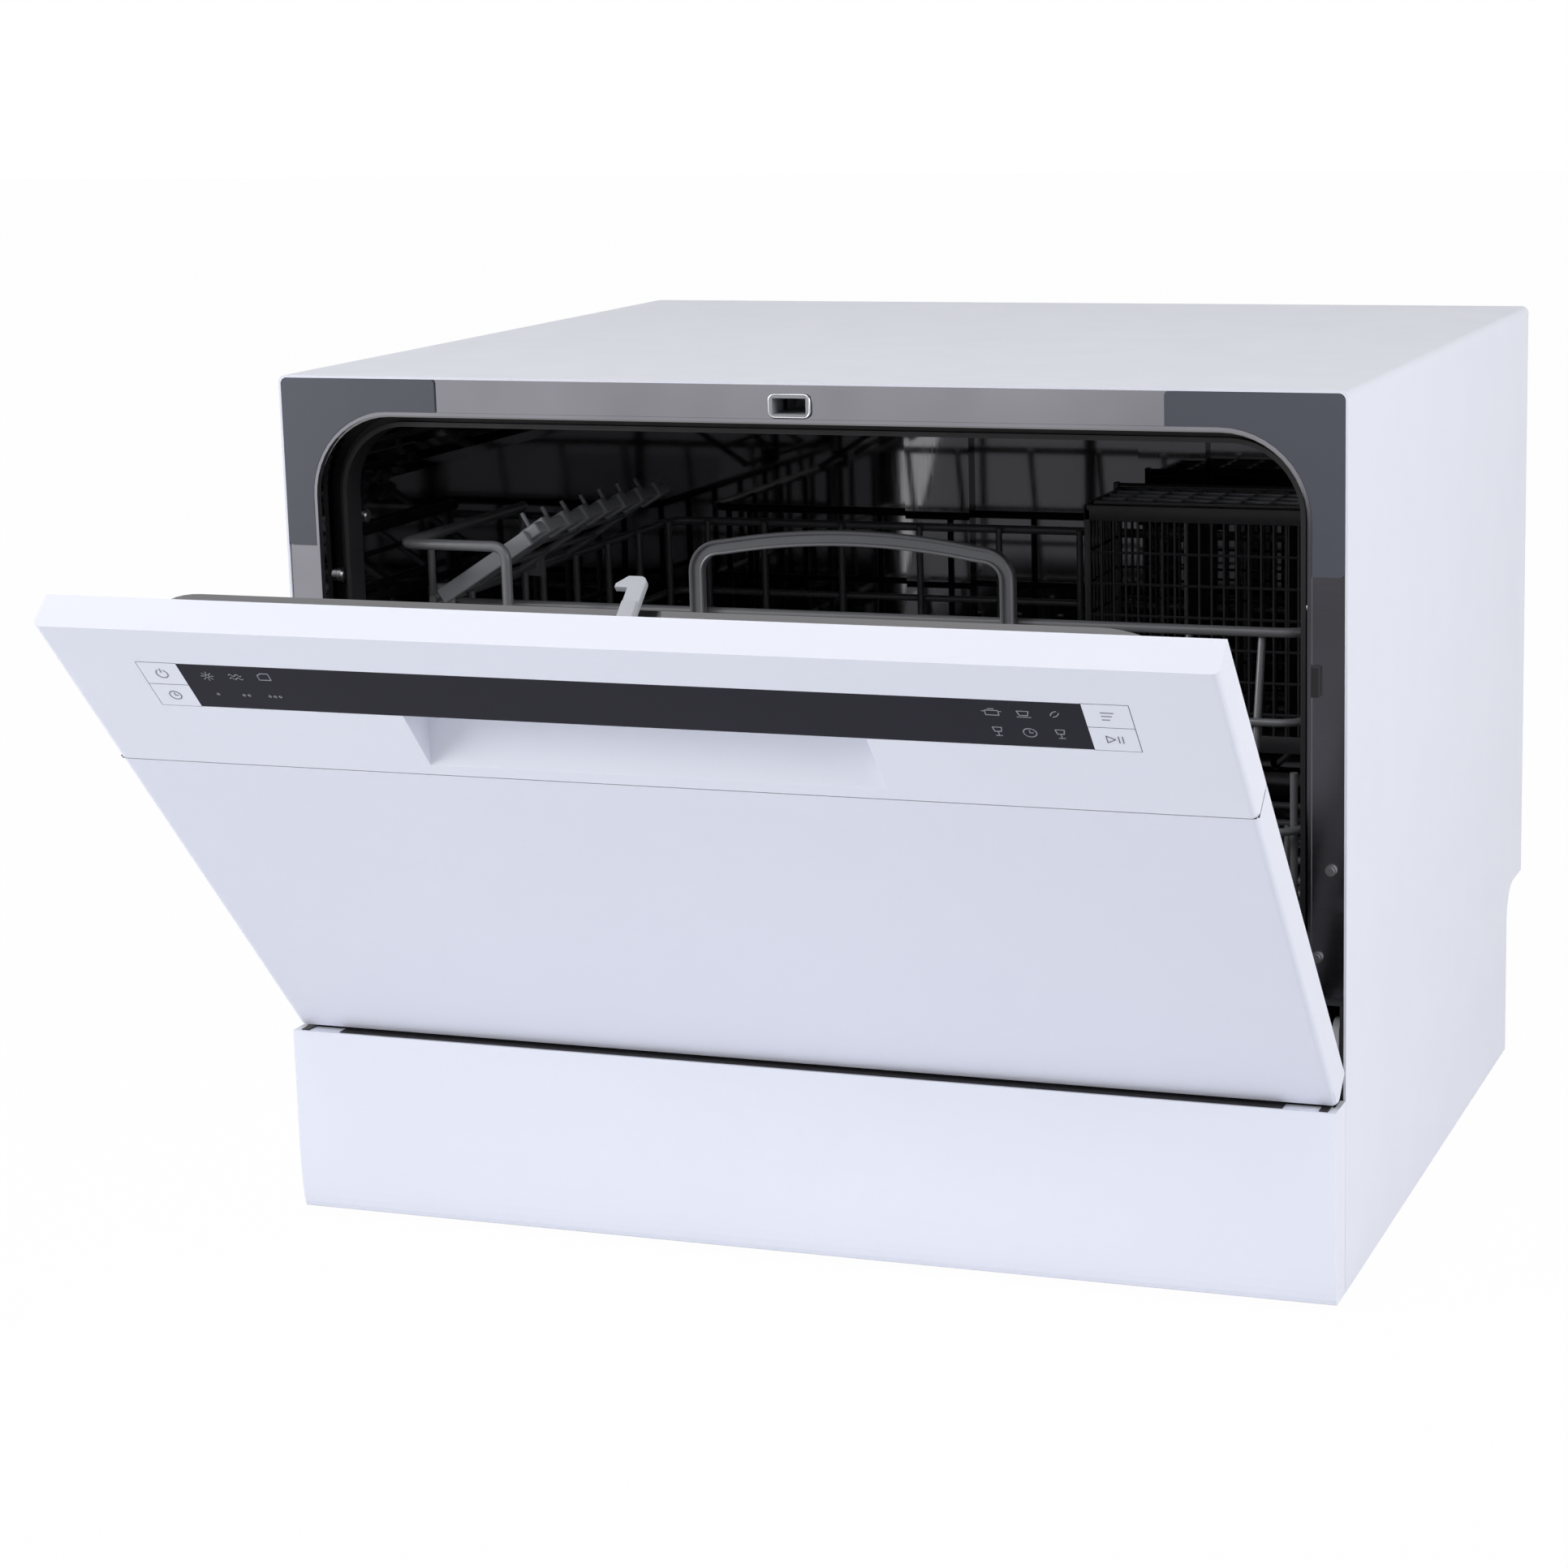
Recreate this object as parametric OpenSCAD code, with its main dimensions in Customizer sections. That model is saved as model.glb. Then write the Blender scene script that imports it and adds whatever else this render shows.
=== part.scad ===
// Countertop dishwasher with a drop-down door, one wire rack and a full wash system.
// Pieces are drawn with the door shut and the front edge of the casing at y = 0,
// and the door's own pieces are then turned about its hinge to the half-open rest pose.

/* [Cabinet] */
// Width of the casing
cabinet_w = 550; // [545:1:580]
// Depth of the casing, front edge to rear panel
cabinet_d = 480; // [476:1:510]
// Height of the casing without the feet
cabinet_h = 433.4; // [433:0.1:450]
// Thickness of the painted casing sheet
casing_t = 1.2; // [0.8:0.1:1.3]
// Radius along the two top side edges of the casing
casing_r = 4; // [2:0.5:6]
// Height of the feet below the casing
foot_h = 4.5; // [3:0.5:10]
// Radius of each foot
foot_r = 14; // [10:1:18]
// Distance of the feet from the middle plane
foot_x = 225; // [200:1:245]
// How far the lower rear steps forward
step_d = 47; // [46:1:50]
// Height of the step at the rear
step_h = 98; // [94:1:102]
// Radius inside the rear step
step_r = 20; // [10:1:30]

/* [Front opening] */
// Clear width of the tub opening
opening_w = 512.8; // [508:0.1:513]
// Height of the rail above the opening
rail_h = 19.4; // [18.4:0.1:21.4]
// Drop of the latch slot's middle below the casing's top
slot_drop = 11.4; // [11:0.1:12]
// Corner radius at the top of the opening
opening_r = 42; // [30:1:50]
// Width of the raised bead round the opening
bead_w = 1.6; // [1:0.1:2]
// Thickness of the stainless front frame
frame_t = 1; // [0.6:0.1:1]
// Height where the side stiles stop
stile_foot = 146; // [143:0.5:150]
// Where the corner covers end along the top rail
cover_x = 188; // [160:1:200]
// Where the corner covers end on the stiles
cover_z = 347; // [330:1:365]
// Thickness of the corner covers
cover_t = 1.1; // [0.8:0.1:1.2]

/* [Tub] */
// Inside height of the tub floor
tub_floor = 114; // [113:0.5:115]
// Thickness of the tub sheet
tub_t = 1; // [0.8:0.1:1]
// Inside depth of the tub, measured from the casing's front edge
tub_d = 439; // [436:1:442]
// Radius along the lower edges of the tub
tub_low_r = 12; // [8:1:13]
// Distance of the rear ribs from the middle plane
rib_x = 73.5; // [65:0.5:90]
// Width of the rear ribs
rib_w = 41; // [30:1:48]
// How far the rear ribs stand into the tub
rib_h = 6; // [3:0.5:8]

/* [Plinth] */
// Height of the plinth panel's top edge
plinth_h = 96.4; // [94:0.1:96.5]
// How far the plinth's foot is tucked back
plinth_tuck = 4.5; // [0:0.5:8]
// Height over which the plinth's foot curves back
plinth_curve = 40; // [20:1:60]
// Wall of the plinth panel
plinth_t = 2.5; // [2:0.1:3]

/* [Door] */
// Distance from the casing's front edge to the door's outer face
door_out = 21.8; // [21:0.1:24]
// Height of the door's lower edge when shut
door_low = 101.7; // [101:0.1:102.5]
// Drop of the door's top edge below the casing's top
door_drop = 2; // [1.6:0.1:3.4]
// Height of the control panel at the door's top
panel_h = 98.8; // [96:0.1:104]
// Thickness of the door's outer shell
door_t = 18.3; // [17.5:0.1:18.5]
// Side gap between door and casing outline
door_side = 0.3; // [0.2:0.1:1]
// Sheet thickness of the lower door panel
door_sheet = 1; // [0.8:0.1:1.2]
// Wall of the plastic control panel
panel_t = 2.5; // [2:0.1:2.6]
// Radius along the door's front edges
door_r = 3.5; // [2:0.5:5]
// Seam between the control panel and the lower panel
door_seam = 0.6; // [0.3:0.1:1]
// How far the stainless liner stands out behind the shell
plug_d = 20; // [19:0.5:20]
// Gap between the liner plug and the opening all round
plug_gap = 6.4; // [6:0.1:8]
// Corner radius of the liner plug
plug_r = 38; // [30:1:45]
// Height of the hinge pins
hinge_z = 108.6; // [108:0.1:109.2]
// Distance of the hinge pins in front of the casing's edge
hinge_out = 14; // [13.5:0.1:14.5]
// Radius of the hinge pins
hinge_pin_r = 3; // [2.5:0.1:3.5]
// Door angle from shut at rest, in degrees
door_rest = 41.87; // [30:0.01:48]

/* [Controls] */
// Width of the dark display strip
strip_w = 423; // [380:1:430]
// Height of the display strip
strip_h = 31.4; // [29:0.1:32]
// Distance of the display strip below the door's top
strip_drop = 23.5; // [22:0.1:25]
// Thickness of the display strip
strip_t = 1.6; // [1:0.1:1.8]
// Width of each push button
button_w = 20.3; // [16:0.1:24]
// Gap round each push button
button_gap = 0.35; // [0.25:0.05:0.5]
// Depth of each push button
button_d = 5; // [4:0.5:5.5]
// Width of the handle scoop
scoop_w = 220; // [180:1:225]
// Height of the handle scoop on the face
scoop_h = 36.8; // [34:0.1:38]
// Depth of the handle scoop
scoop_d = 15; // [12:0.5:15]

/* [Rack] */
// Distance of the rack's side wires from the middle plane
rack_x = 232; // [228:0.5:232]
// Front of the rack floor
rack_front = 52; // [52:0.5:58]
// Gap between the rack's rear wires and the tub's rear wall
rack_gap = 35; // [31:1:41]
// Height of the rack floor wires
rack_floor = 150; // [149:0.5:152]
// Height of the rack's top rim
rim_z = 305; // [300:1:306]
// Distance of the top rim's front from the casing's front edge
rim_front = 90; // [86:1:94]
// Diameter of the basket wires
wire_d = 4; // [3:0.1:4]
// Diameter of the rim wires
rim_d = 5; // [4.4:0.1:5.2]
// Diameter of the raised side rim
raised_d = 5.6; // [5:0.1:6]
// Height of the raised side rim
raised_z = 342; // [336:1:348]
// Front of the raised side rim
raised_front = 46.9; // [45:0.5:50]
// Length of the raised side rim's rear post from the casing's edge
raised_rear = 187; // [180:1:192]
// Height of the plate tines above the floor wires
tine_h = 66; // [50:1:72]
// Spacing of the plate tines
tine_pitch = 27.5; // [24:0.5:35]
// Radius of the rack wheels
wheel_r = 11; // [9:0.5:11.5]
// Width of the rack wheels
wheel_w = 8; // [6:0.5:8.5]
// Radius of the wheel pins
wheel_pin_r = 2.5; // [2:0.1:3]
// Height of the rail's running face
rail_z = 136; // [135:0.5:137]
// Half width between the legs of the rack handle
handle_x = 84; // [80.5:0.5:92]
// Height of the rack handle's crown
handle_z = 350; // [345:1:356]
// Drop from the crown to the handle's shoulders
handle_drop = 7; // [3:0.5:12]
// Width of the rack handle's bow
handle_w = 7.6; // [6:0.1:9]

/* [Cup shelf] */
// Angle of the folding cup shelf above level at rest
shelf_rest = 32.6; // [20:0.1:45]
// Reach of the cup shelf from its hinge to its edge strip
shelf_reach = 70; // [60:1:76]
// Length of the cup shelf's edge strip
shelf_l = 170; // [150:1:176]
// Height of the cup shelf's hinge
shelf_z = 309.8; // [309.7:0.1:312]

/* [Cutlery basket] */
// Left side of the cutlery basket
basket_x = 48; // [40:1:60]
// Width of the cutlery basket
basket_w = 178; // [160:1:178]
// Depth of the cutlery basket
basket_d = 66; // [50:1:70]
// Height of the cutlery basket's top
basket_top = 331; // [325:1:334]
// Height of the cutlery basket
basket_h = 139; // [120:1:145]
// Wall of the cutlery basket
basket_t = 2.4; // [2:0.1:3]

/* [Wash system] */
// Distance of the spray arm's axis behind the casing's front edge
arm_y = 232; // [228:1:236]
// Reach of the spray arm
arm_reach = 188; // [160:1:192]
// Height of the spray arm's underside
arm_z = 125; // [124.5:0.5:127]
// Radius of the spray arm's pivot
arm_pin_r = 6; // [5:0.1:7]
// Radius of the sump bowl
sump_r = 56; // [50:1:58]
// Depth of the sump below the tub floor
sump_d = 66; // [60:1:68]
// Radius of the round filter cup
filter_r = 17.5; // [14:0.5:18]
// Distance of the filter cup from the spray arm's axis
filter_x = 31; // [31:0.5:33]
// Radius of the salt funnel's neck
salt_r = 22; // [20:0.5:22]

/* [Connections] */
// Outer radius of the threaded water inlet, for a 3/4 inch hose nut
inlet_r = 13.2; // [12:0.1:14]
// Length of the threaded water inlet outside the rear panel
inlet_l = 14; // [10:0.5:18]
// Outer radius of the drain spigot
drain_r = 9.5; // [8:0.1:11]
// Length of the drain spigot outside the rear panel
drain_l = 25; // [15:1:30]
// Radius of the mains cable gland
gland_r = 9; // [7:0.5:10]

/* [Clearances] */
// Gap between pieces that are pressed or screwed together
seat = 0.1; // [0.05:0.01:0.15]
// Radial gap of pins and shafts that turn
turn_gap = 0.06; // [0.03:0.01:0.1]
// Gap under wheels and round loosely set pieces
loose = 0.3; // [0.2:0.05:0.4]

/* [Hidden] */

white = "#e9ebf5";
panel_white = "#eceef6";
steel = "#8f8d94";
cover_grey = "#5c606b";
dark = "#2f2d38";
rubber = "#18181b";
plastic_grey = "#9aa0a6";
wire_grey = "#7d8088";

arc_n = 12;
half_w = cabinet_w / 2;
casing_in = half_w - casing_t;
half_open = opening_w / 2;
opening_top = cabinet_h - rail_h;
door_top = cabinet_h - door_drop;
door_half = half_w - door_side;
door_face = -door_out;
door_back = door_face + door_t;
plug_face = door_back + plug_d;
panel_low = door_top - panel_h;
tub_half = half_open - tub_t;
tub_front = 2 * frame_t + seat;
frame_face = frame_t;
slot_x = 1.5;
slot_z = cabinet_h - slot_drop;
slot_w = 21;
slot_h = 11;

// The lowest y that the tilted door reaches, which sets the frame's middle.
door_reach = -hinge_out + (door_face + hinge_out) * cos(door_rest) - (door_top - hinge_z) * sin(door_rest);
frame_y = (cabinet_d + door_reach) / 2;

function unit(v) = v / norm(v);
function arc(c, r, a0, a1, n = arc_n) =
    r > 0 ? [for (i = [0:n]) c + r * [cos(a0 + (a1 - a0) * i / n), sin(a0 + (a1 - a0) * i / n)]] : [c];
function slab(x0, x1, z0, z1, low_r, high_r) = concat(
    arc([x1 - low_r, z0 + low_r], low_r, -90, 0), arc([x1 - high_r, z1 - high_r], high_r, 0, 90),
    arc([x0 + high_r, z1 - high_r], high_r, 90, 180), arc([x0 + low_r, z0 + low_r], low_r, 180, 270));

// A bend of radius r that replaces the corner b of a route.
function bend(a, b, c, r, n) =
    let (u = unit(a - b), w = unit(c - b), half = acos(u * w) / 2, turn = 180 - 2 * half,
         mid = b + unit(u + w) * r / sin(half), s = b + u * r / tan(half) - mid, e = b + w * r / tan(half) - mid)
    [for (k = [0:n]) mid + (s * sin((1 - k / n) * turn) + e * sin(k / n * turn)) / sin(turn)];
function route(points, r, n = 4) = concat([points[0]],
    [for (i = [1:1:len(points) - 2]) each bend(points[i - 1], points[i], points[i + 1], r, n)],
    [points[len(points) - 1]]);
function loop_route(points, r, n = 4) =
    let (m = len(points))
    [for (i = [0:m - 1]) each bend(points[(i + m - 1) % m], points[i], points[(i + 1) % m], r, n)];

// A round wire or tube along a path, as one closed solid of flat sides.
module wire(path, d, sides = 8, closed = false, aim = [1, 1, 1]) {
    n = len(path);
    rings = closed ? n : n - 1;
    points = [for (i = [0:n - 1])
        let (a = closed ? path[(i + n - 1) % n] : path[max(i - 1, 0)],
             b = closed ? path[(i + 1) % n] : path[min(i + 1, n - 1)],
             t = unit(b - a), s = unit(cross(aim, t)), u = cross(t, s))
        for (k = [0:sides - 1]) path[i] + d / 2 * (cos(360 * k / sides) * u + sin(360 * k / sides) * s)];
    skin = [for (i = [0:rings - 1], k = [0:sides - 1])
        let (a = i * sides + k, b = i * sides + (k + 1) % sides,
             c = ((i + 1) % n) * sides + (k + 1) % sides, e = ((i + 1) % n) * sides + k)
        each [[a, b, c], [a, c, e]]];
    start_cap = [for (k = [1:sides - 2]) [0, k + 1, k]];
    last = (n - 1) * sides;
    end_cap = [for (k = [1:sides - 2]) [last, last + k, last + k + 1]];
    polyhedron(points, closed ? skin : concat(skin, start_cap, end_cap));
}

module along_x(x0, x1) translate([x0, 0, 0]) rotate([90, 0, 90]) linear_extrude(x1 - x0) children();
module along_y(y0, y1) translate([0, y1, 0]) rotate([90, 0, 0]) linear_extrude(y1 - y0) children();
module box(x, y, z) translate([x[0], y[0], z[0]]) cube([x[1] - x[0], y[1] - y[0], z[1] - z[0]]);
module rod_x(x0, x1, y, z, r, f = 48) translate([x0, y, z]) rotate([0, 90, 0]) cylinder(h = x1 - x0, r = r, $fn = f);
module rod_y(y0, y1, x, z, r) translate([x, y0, z]) rotate([-90, 0, 0]) cylinder(h = y1 - y0, r = r, $fn = 48);
module rod_z(z0, z1, x, y, r) translate([x, y, z0]) cylinder(h = z1 - z0, r = r, $fn = 48);
module both_sides() for (m = [0, 1]) mirror([m, 0, 0]) children();

// Casing and base.
module machine() translate([0, -frame_y, foot_h]) children();
module on_door() machine() translate([0, -hinge_out, hinge_z]) rotate([door_rest, 0, 0])
    translate([0, hinge_out, -hinge_z]) children();

module side_outline() {
    low_y = cabinet_d - step_d;
    polygon(concat([[0, 0], [low_y, 0]], arc([low_y + step_r, step_h - step_r], step_r, 180, 90),
        [[cabinet_d, step_h], [cabinet_d, cabinet_h + 1], [0, cabinet_h + 1]]));
}
module outer_casing() color(white) machine() intersection() {
    along_y(0, cabinet_d) difference() {
        polygon(slab(-half_w, half_w, 0, cabinet_h, 0, casing_r));
        polygon(slab(-casing_in, casing_in, -1, cabinet_h - casing_t, 0, casing_r - casing_t / 2));
    }
    along_x(-half_w - 1, half_w + 1) side_outline();
}

port_x = [190, 130, -190];
port_z = [56, 26, 60];
rear_low_y = cabinet_d - step_d - 1.2;
module rear_panel() color(steel) machine() difference() {
    inner_w = casing_in - seat;
    union() {
        along_y(cabinet_d - 2, cabinet_d - 1) polygon(slab(-inner_w, inner_w, step_h,
            cabinet_h - casing_t - seat, 0, casing_r));
        box([-inner_w, inner_w], [rear_low_y, cabinet_d - 1], [step_h, step_h + 1]);
        box([-inner_w, inner_w], [rear_low_y, rear_low_y + 1], [3, step_h + 1]);
    }
    rod_y(rear_low_y - 1, rear_low_y + 2, port_x[0], port_z[0], inlet_r + loose);
    rod_y(rear_low_y - 1, rear_low_y + 2, port_x[1], port_z[1], drain_r + loose);
    rod_y(rear_low_y - 1, rear_low_y + 2, port_x[2], port_z[2], gland_r + loose);
}

tray_w = casing_in - 2 * seat;
tray_rear = rear_low_y - 0.5;
post_in = tray_w - 2.1;
spring_foot = [60, 12];
module base_tray() color(plastic_grey) machine() {
    difference() {
        union() {
            box([-tray_w, tray_w], [1.5, tray_rear], [0.5, 3]);
            box([-255, 255], [1.5, 4], [3, 92]);
            box([-tray_w, tray_w], [tray_rear - 2.5, tray_rear], [3, 92]);
            both_sides() {
                box([post_in, tray_w], [2, tray_rear], [3, 90]);
                rod_x(264.6, post_in + 0.5, spring_foot[0], spring_foot[1], 3);
            }
        }
        rod_y(tray_rear - 3, tray_rear + 1, port_x[0], port_z[0], inlet_r + loose);
        rod_y(tray_rear - 3, tray_rear + 1, port_x[1], port_z[1], drain_r + loose);
        rod_y(tray_rear - 3, tray_rear + 1, port_x[2], port_z[2], gland_r + loose);
        for (x = [-foot_x, foot_x], y = [40, 398]) rod_z(0, 4, x, y, 4 + seat);
    }
    // Brackets under the stiles and posts under the tub, screwed on.
    both_sides() {
        box([post_in, tray_w], [2, 30], [90 + seat, stile_foot - 4]);
        box([half_open + 0.5, tray_w], [2.2, 14], [stile_foot - 4, stile_foot - seat]);
        for (y = [40, 352]) box([197, 213], [y, y + 16], [3 + seat, tub_floor - tub_t - seat]);
    }
}

module plinth_outline(inset, back) {
    face = -door_out + inset;
    steps = 8;
    polygon(concat([[back, plinth_h - inset], [face, plinth_h - inset]],
        [for (i = [0:steps]) let (a = 90 * i / steps)
            [face + plinth_tuck * (1 - cos(a)), plinth_curve * (1 - sin(a)) - inset]],
        [[back, -inset]]));
}
module base_front_panel() color(panel_white) machine() {
    difference() {
        along_x(-half_w, half_w) intersection() {
            plinth_outline(0, -0.4);
            translate([-door_out - 1, 0.2]) square([door_out + 2, plinth_h]);
        }
        along_x(-half_w + plinth_t, half_w - plinth_t) plinth_outline(plinth_t, 1);
        box([-half_w + plinth_t, half_w - plinth_t], [-12, 1], [plinth_h - 2 * plinth_t, plinth_h + 1]);
    }
    for (x = [-150, 150]) box([x - 12, x + 12], [-door_out + plinth_t - 0.5, 1.5 - seat], [50, 54]);
}

module feet() color(rubber) machine() for (x = [-foot_x, foot_x], y = [40, 398]) {
    rod_z(-foot_h, 0.4, x, y, foot_r);
    rod_z(0.4, 8, x, y, 4);
}

// Tub and front frame.
module opening(grow, z0) polygon(slab(-half_open - grow, half_open + grow, z0, opening_top + grow, 0, opening_r + grow));
sump_mouth = sump_r + 2;
salt_x = -150;
salt_y = 130;
// The tub is a floor pan and a shell, welded along this height.
weld_z = tub_floor + tub_low_r;
module tub() color(steel) machine() {
    difference() {
        union() {
            along_y(tub_front, tub_d + tub_t) polygon(slab(-half_open, half_open, tub_floor - tub_t, opening_top,
                tub_low_r + tub_t, opening_r));
            both_sides() along_y(tub_front, tub_front + 1) polygon(slab(half_open - 4, half_open + 14, stile_foot + 4,
                opening_top - opening_r, 0, 0));
        }
        along_y(tub_front - 1, tub_d) polygon(slab(-tub_half, tub_half, tub_floor, opening_top - tub_t,
            tub_low_r, opening_r - tub_t));
        rod_z(tub_floor - 3, tub_floor + 1, 0, arm_y, sump_mouth);
        rod_z(tub_floor - 3, tub_floor + 1, salt_x, salt_y, salt_r + 1);
        box([-half_w, half_w], [tub_front - 1, tub_d + 2], [weld_z, weld_z + seat]);
    }
    box([-tub_half, tub_half], [tub_front, tub_front + 1], [97, tub_floor - tub_t / 2]);
    for (x = [-rib_x, rib_x]) along_y(tub_d - rib_h, tub_d + tub_t / 2) polygon(slab(x - rib_w / 2, x + rib_w / 2,
        tub_floor + 26, opening_top - 9, rib_w / 2 - 1, rib_w / 2 - 1));
}

module front_frame() color(steel) machine() {
    difference() {
        along_y(frame_face, frame_face + frame_t) polygon(slab(-casing_in + seat, casing_in - seat, stile_foot,
            cabinet_h - casing_t - seat, 0, casing_r));
        along_y(frame_face - 1, frame_face + frame_t + 1) opening(0, stile_foot - 10);
        along_y(frame_face - 1, frame_face + frame_t + 1) polygon(slab(slot_x - slot_w / 2 + 1, slot_x + slot_w / 2 - 1,
            slot_z - slot_h / 2 + 1, slot_z + slot_h / 2 - 1, 2, 2));
    }
    along_y(0, frame_face) difference() {
        opening(bead_w, stile_foot);
        opening(0, stile_foot - 1);
    }
}

module corner_cover() along_y(frame_face - seat / 5 - cover_t, frame_face - seat / 5) difference() {
    polygon(concat([[cover_x, opening_top - opening_r], [half_open - opening_r, cover_z], [half_open, cover_z]],
        arc([casing_in - seat - 3, cover_z + 3], 3, -90, 0),
        arc([casing_in - seat - casing_r, cabinet_h - casing_t - seat - casing_r], casing_r, 0, 90),
        arc([cover_x + 2, cabinet_h - casing_t - seat - 2], 2, 90, 180)));
    opening(bead_w + 0.2, 0);
}
module corner_covers() color(cover_grey) machine() both_sides() corner_cover();

gasket_y = 22;
module gasket_ring(y0, y1, outer, inner) along_y(y0, y1) difference() {
    polygon(slab(-tub_half + outer, tub_half - outer, stile_foot + 4, opening_top - tub_t - outer, 0,
        opening_r - tub_t - outer));
    polygon(slab(-tub_half + inner, tub_half - inner, stile_foot, opening_top - tub_t - inner, 0,
        opening_r - tub_t - inner));
}
module door_gasket() color(rubber) machine() {
    gasket_ring(gasket_y, gasket_y + 10, seat, 6.6);
    gasket_ring(plug_face + 0.7, gasket_y + 0.5, 4.2, 6.6);
}
module lower_door_seal() color(rubber) machine()
    along_x(-tub_half + tub_low_r, tub_half - tub_low_r) polygon(concat([[4, tub_floor + seat / 2], [13, tub_floor + seat / 2]],
        arc([8.5, tub_floor + 2], 1.9, 30, 150, 6)));

catch_x = 24;
catch_floor = opening_top + 2;
bolt_y = [13.5, 18.5];
bolt_z = [slot_z - 3.4, slot_z + 1.6];
module latch_catch() color(plastic_grey) machine() {
    difference() {
        union() {
            box([-catch_x, catch_x], [frame_face + frame_t + seat, 38], [catch_floor, cabinet_h - 3.4]);
            along_y(-0.8, frame_face - seat / 5) polygon(slab(slot_x - slot_w / 2, slot_x + slot_w / 2,
                slot_z - slot_h / 2, slot_z + slot_h / 2, 3, 3));
            along_y(frame_face - 0.5, frame_face + frame_t + 1) polygon(slab(slot_x - slot_w / 2 + 1.2,
                slot_x + slot_w / 2 - 1.2, slot_z - slot_h / 2 + 1.2, slot_z + slot_h / 2 - 1.2, 1.5, 1.5));
        }
        box([slot_x - 8.6, slot_x + 8.6], [-2, 31], [slot_z - 3.9, slot_z + 3.9]);
        box([-22, slot_x], [bolt_y[0] - loose, bolt_y[1] + loose], [bolt_z[0] - loose, bolt_z[1] + loose]);
    }
}
module latch_bolt() color(rubber) machine() box([-20, -6.6], bolt_y, bolt_z);

module door_bumpers() color(rubber) machine() both_sides()
    box([half_open + bead_w + 0.4, half_open + bead_w + 4], [door_back + 0.4, frame_face - seat / 5], [291, 305]);

module tub_blanket() color(dark) machine() difference() {
    box([-half_open + 16.4, half_open - 16.4], [20, tub_d - 14], [opening_top + seat, opening_top + 9]);
    box([-catch_x - 4, catch_x + 4], [10, 44], [opening_top - 1, opening_top + 12]);
}

// Wash system below the tub.
sump_low = tub_floor - sump_d;
module sump() color(plastic_grey) machine() difference() {
    union() {
        rod_z(sump_low, tub_floor - tub_t - seat, 0, arm_y, sump_r);
        rod_z(tub_floor - tub_t - 4, tub_floor - tub_t - seat, 0, arm_y, sump_r + 8);
        rod_x(sump_r - 6, sump_r + 14, arm_y, sump_low + 20, 15);
        rod_y(arm_y - sump_r - 10, arm_y - sump_r + 10, -30, sump_low + 12, 9);
    }
    rod_z(sump_low + 3, tub_floor + 1, 0, arm_y, sump_r - 3);
    rod_x(sump_r - 10, sump_r + 15, arm_y, sump_low + 20, 12);
    rod_y(arm_y - sump_r - 11, arm_y - sump_r + 12, -30, sump_low + 12, 7);
}

plate_top = tub_floor + 2.2;
module filter_plate() color(steel) machine() difference() {
    rod_z(tub_floor + seat / 2, plate_top, 0, arm_y, sump_mouth + 8);
    rod_z(tub_floor - 1, plate_top + 1, filter_x, arm_y, filter_r + loose);
    for (reach = [30, 41, 52], a = [72:24:288]) translate([0, arm_y, 0]) rotate([0, 0, a])
        rod_z(tub_floor - 1, plate_top + 1, reach, 0, 1.8);
}

module filter_cup() color(dark) machine() {
    difference() {
        rod_z(tub_floor - 44, plate_top + 2, filter_x, arm_y, filter_r);
        rod_z(tub_floor - 42, plate_top + 3, filter_x, arm_y, filter_r - 2);
    }
    difference() {
        rod_z(plate_top + seat, plate_top + 2.4, filter_x, arm_y, filter_r + 2);
        rod_z(plate_top - 1, plate_top + 3, filter_x, arm_y, filter_r - 2);
    }
    box([filter_x - filter_r + 1, filter_x + filter_r - 1], [arm_y - 2, arm_y + 2], [plate_top - 6, arm_z - 1.2]);
}

hub_top = arm_z + 11;
hub_r = 11;
module spray_hub() color(dark) machine() {
    rod_z(plate_top + seat, arm_z - loose, 0, arm_y, hub_r);
    rod_z(plate_top + 1, hub_top + 3, 0, arm_y, arm_pin_r);
    rod_z(hub_top + loose, hub_top + 3.4, 0, arm_y, arm_pin_r + 5);
}
module spray_arm() color(plastic_grey) machine() translate([0, arm_y, 0]) difference() {
    union() {
        rod_z(arm_z, hub_top, 0, 0, 26);
        for (a = [0, 180]) rotate([0, 0, a]) {
            linear_extrude_at(arm_z, arm_z + 8) polygon(concat([[0, -22]],
                arc([arm_reach - 13, 2], 13, -90, 90, 10), [[20, 24], [0, 22]]));
            translate([0, 0, arm_z + 8]) linear_extrude(2.4) polygon([[18, -8], [arm_reach - 24, -4],
                [arm_reach - 24, 6], [18, 10]]);
        }
    }
    translate([0, 0, arm_z - 1]) cylinder(h = 20, r = arm_pin_r + turn_gap, $fn = 48);
    for (a = [0, 180], d = [48:34:arm_reach - 20]) rotate([0, 0, a]) translate([d, 1, arm_z + 3])
        cylinder(h = 12, r = 1.7, $fn = 24);
}
module linear_extrude_at(z0, z1) translate([0, 0, z0]) linear_extrude(z1 - z0) children();

salt_top = tub_floor + 1.6;
module water_softener() color(plastic_grey) machine() difference() {
    union() {
        box([salt_x - 45, salt_x + 45], [salt_y - 45, salt_y + 70], [3 + seat, 100]);
        rod_z(100, salt_top, salt_x, salt_y, salt_r);
    }
    rod_z(50, salt_top + 1, salt_x, salt_y, salt_r - 4);
}
module salt_cap() color(dark) machine() {
    rod_z(salt_top + seat, salt_top + 5.5, salt_x, salt_y, salt_r + 4);
    rod_z(salt_top - 12, salt_top + 1, salt_x, salt_y, salt_r - 4 - 2 * turn_gap);
    box([salt_x - 20, salt_x + 20], [salt_y - 2.5, salt_y + 2.5], [salt_top + 5, salt_top + 7.6]);
}

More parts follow.
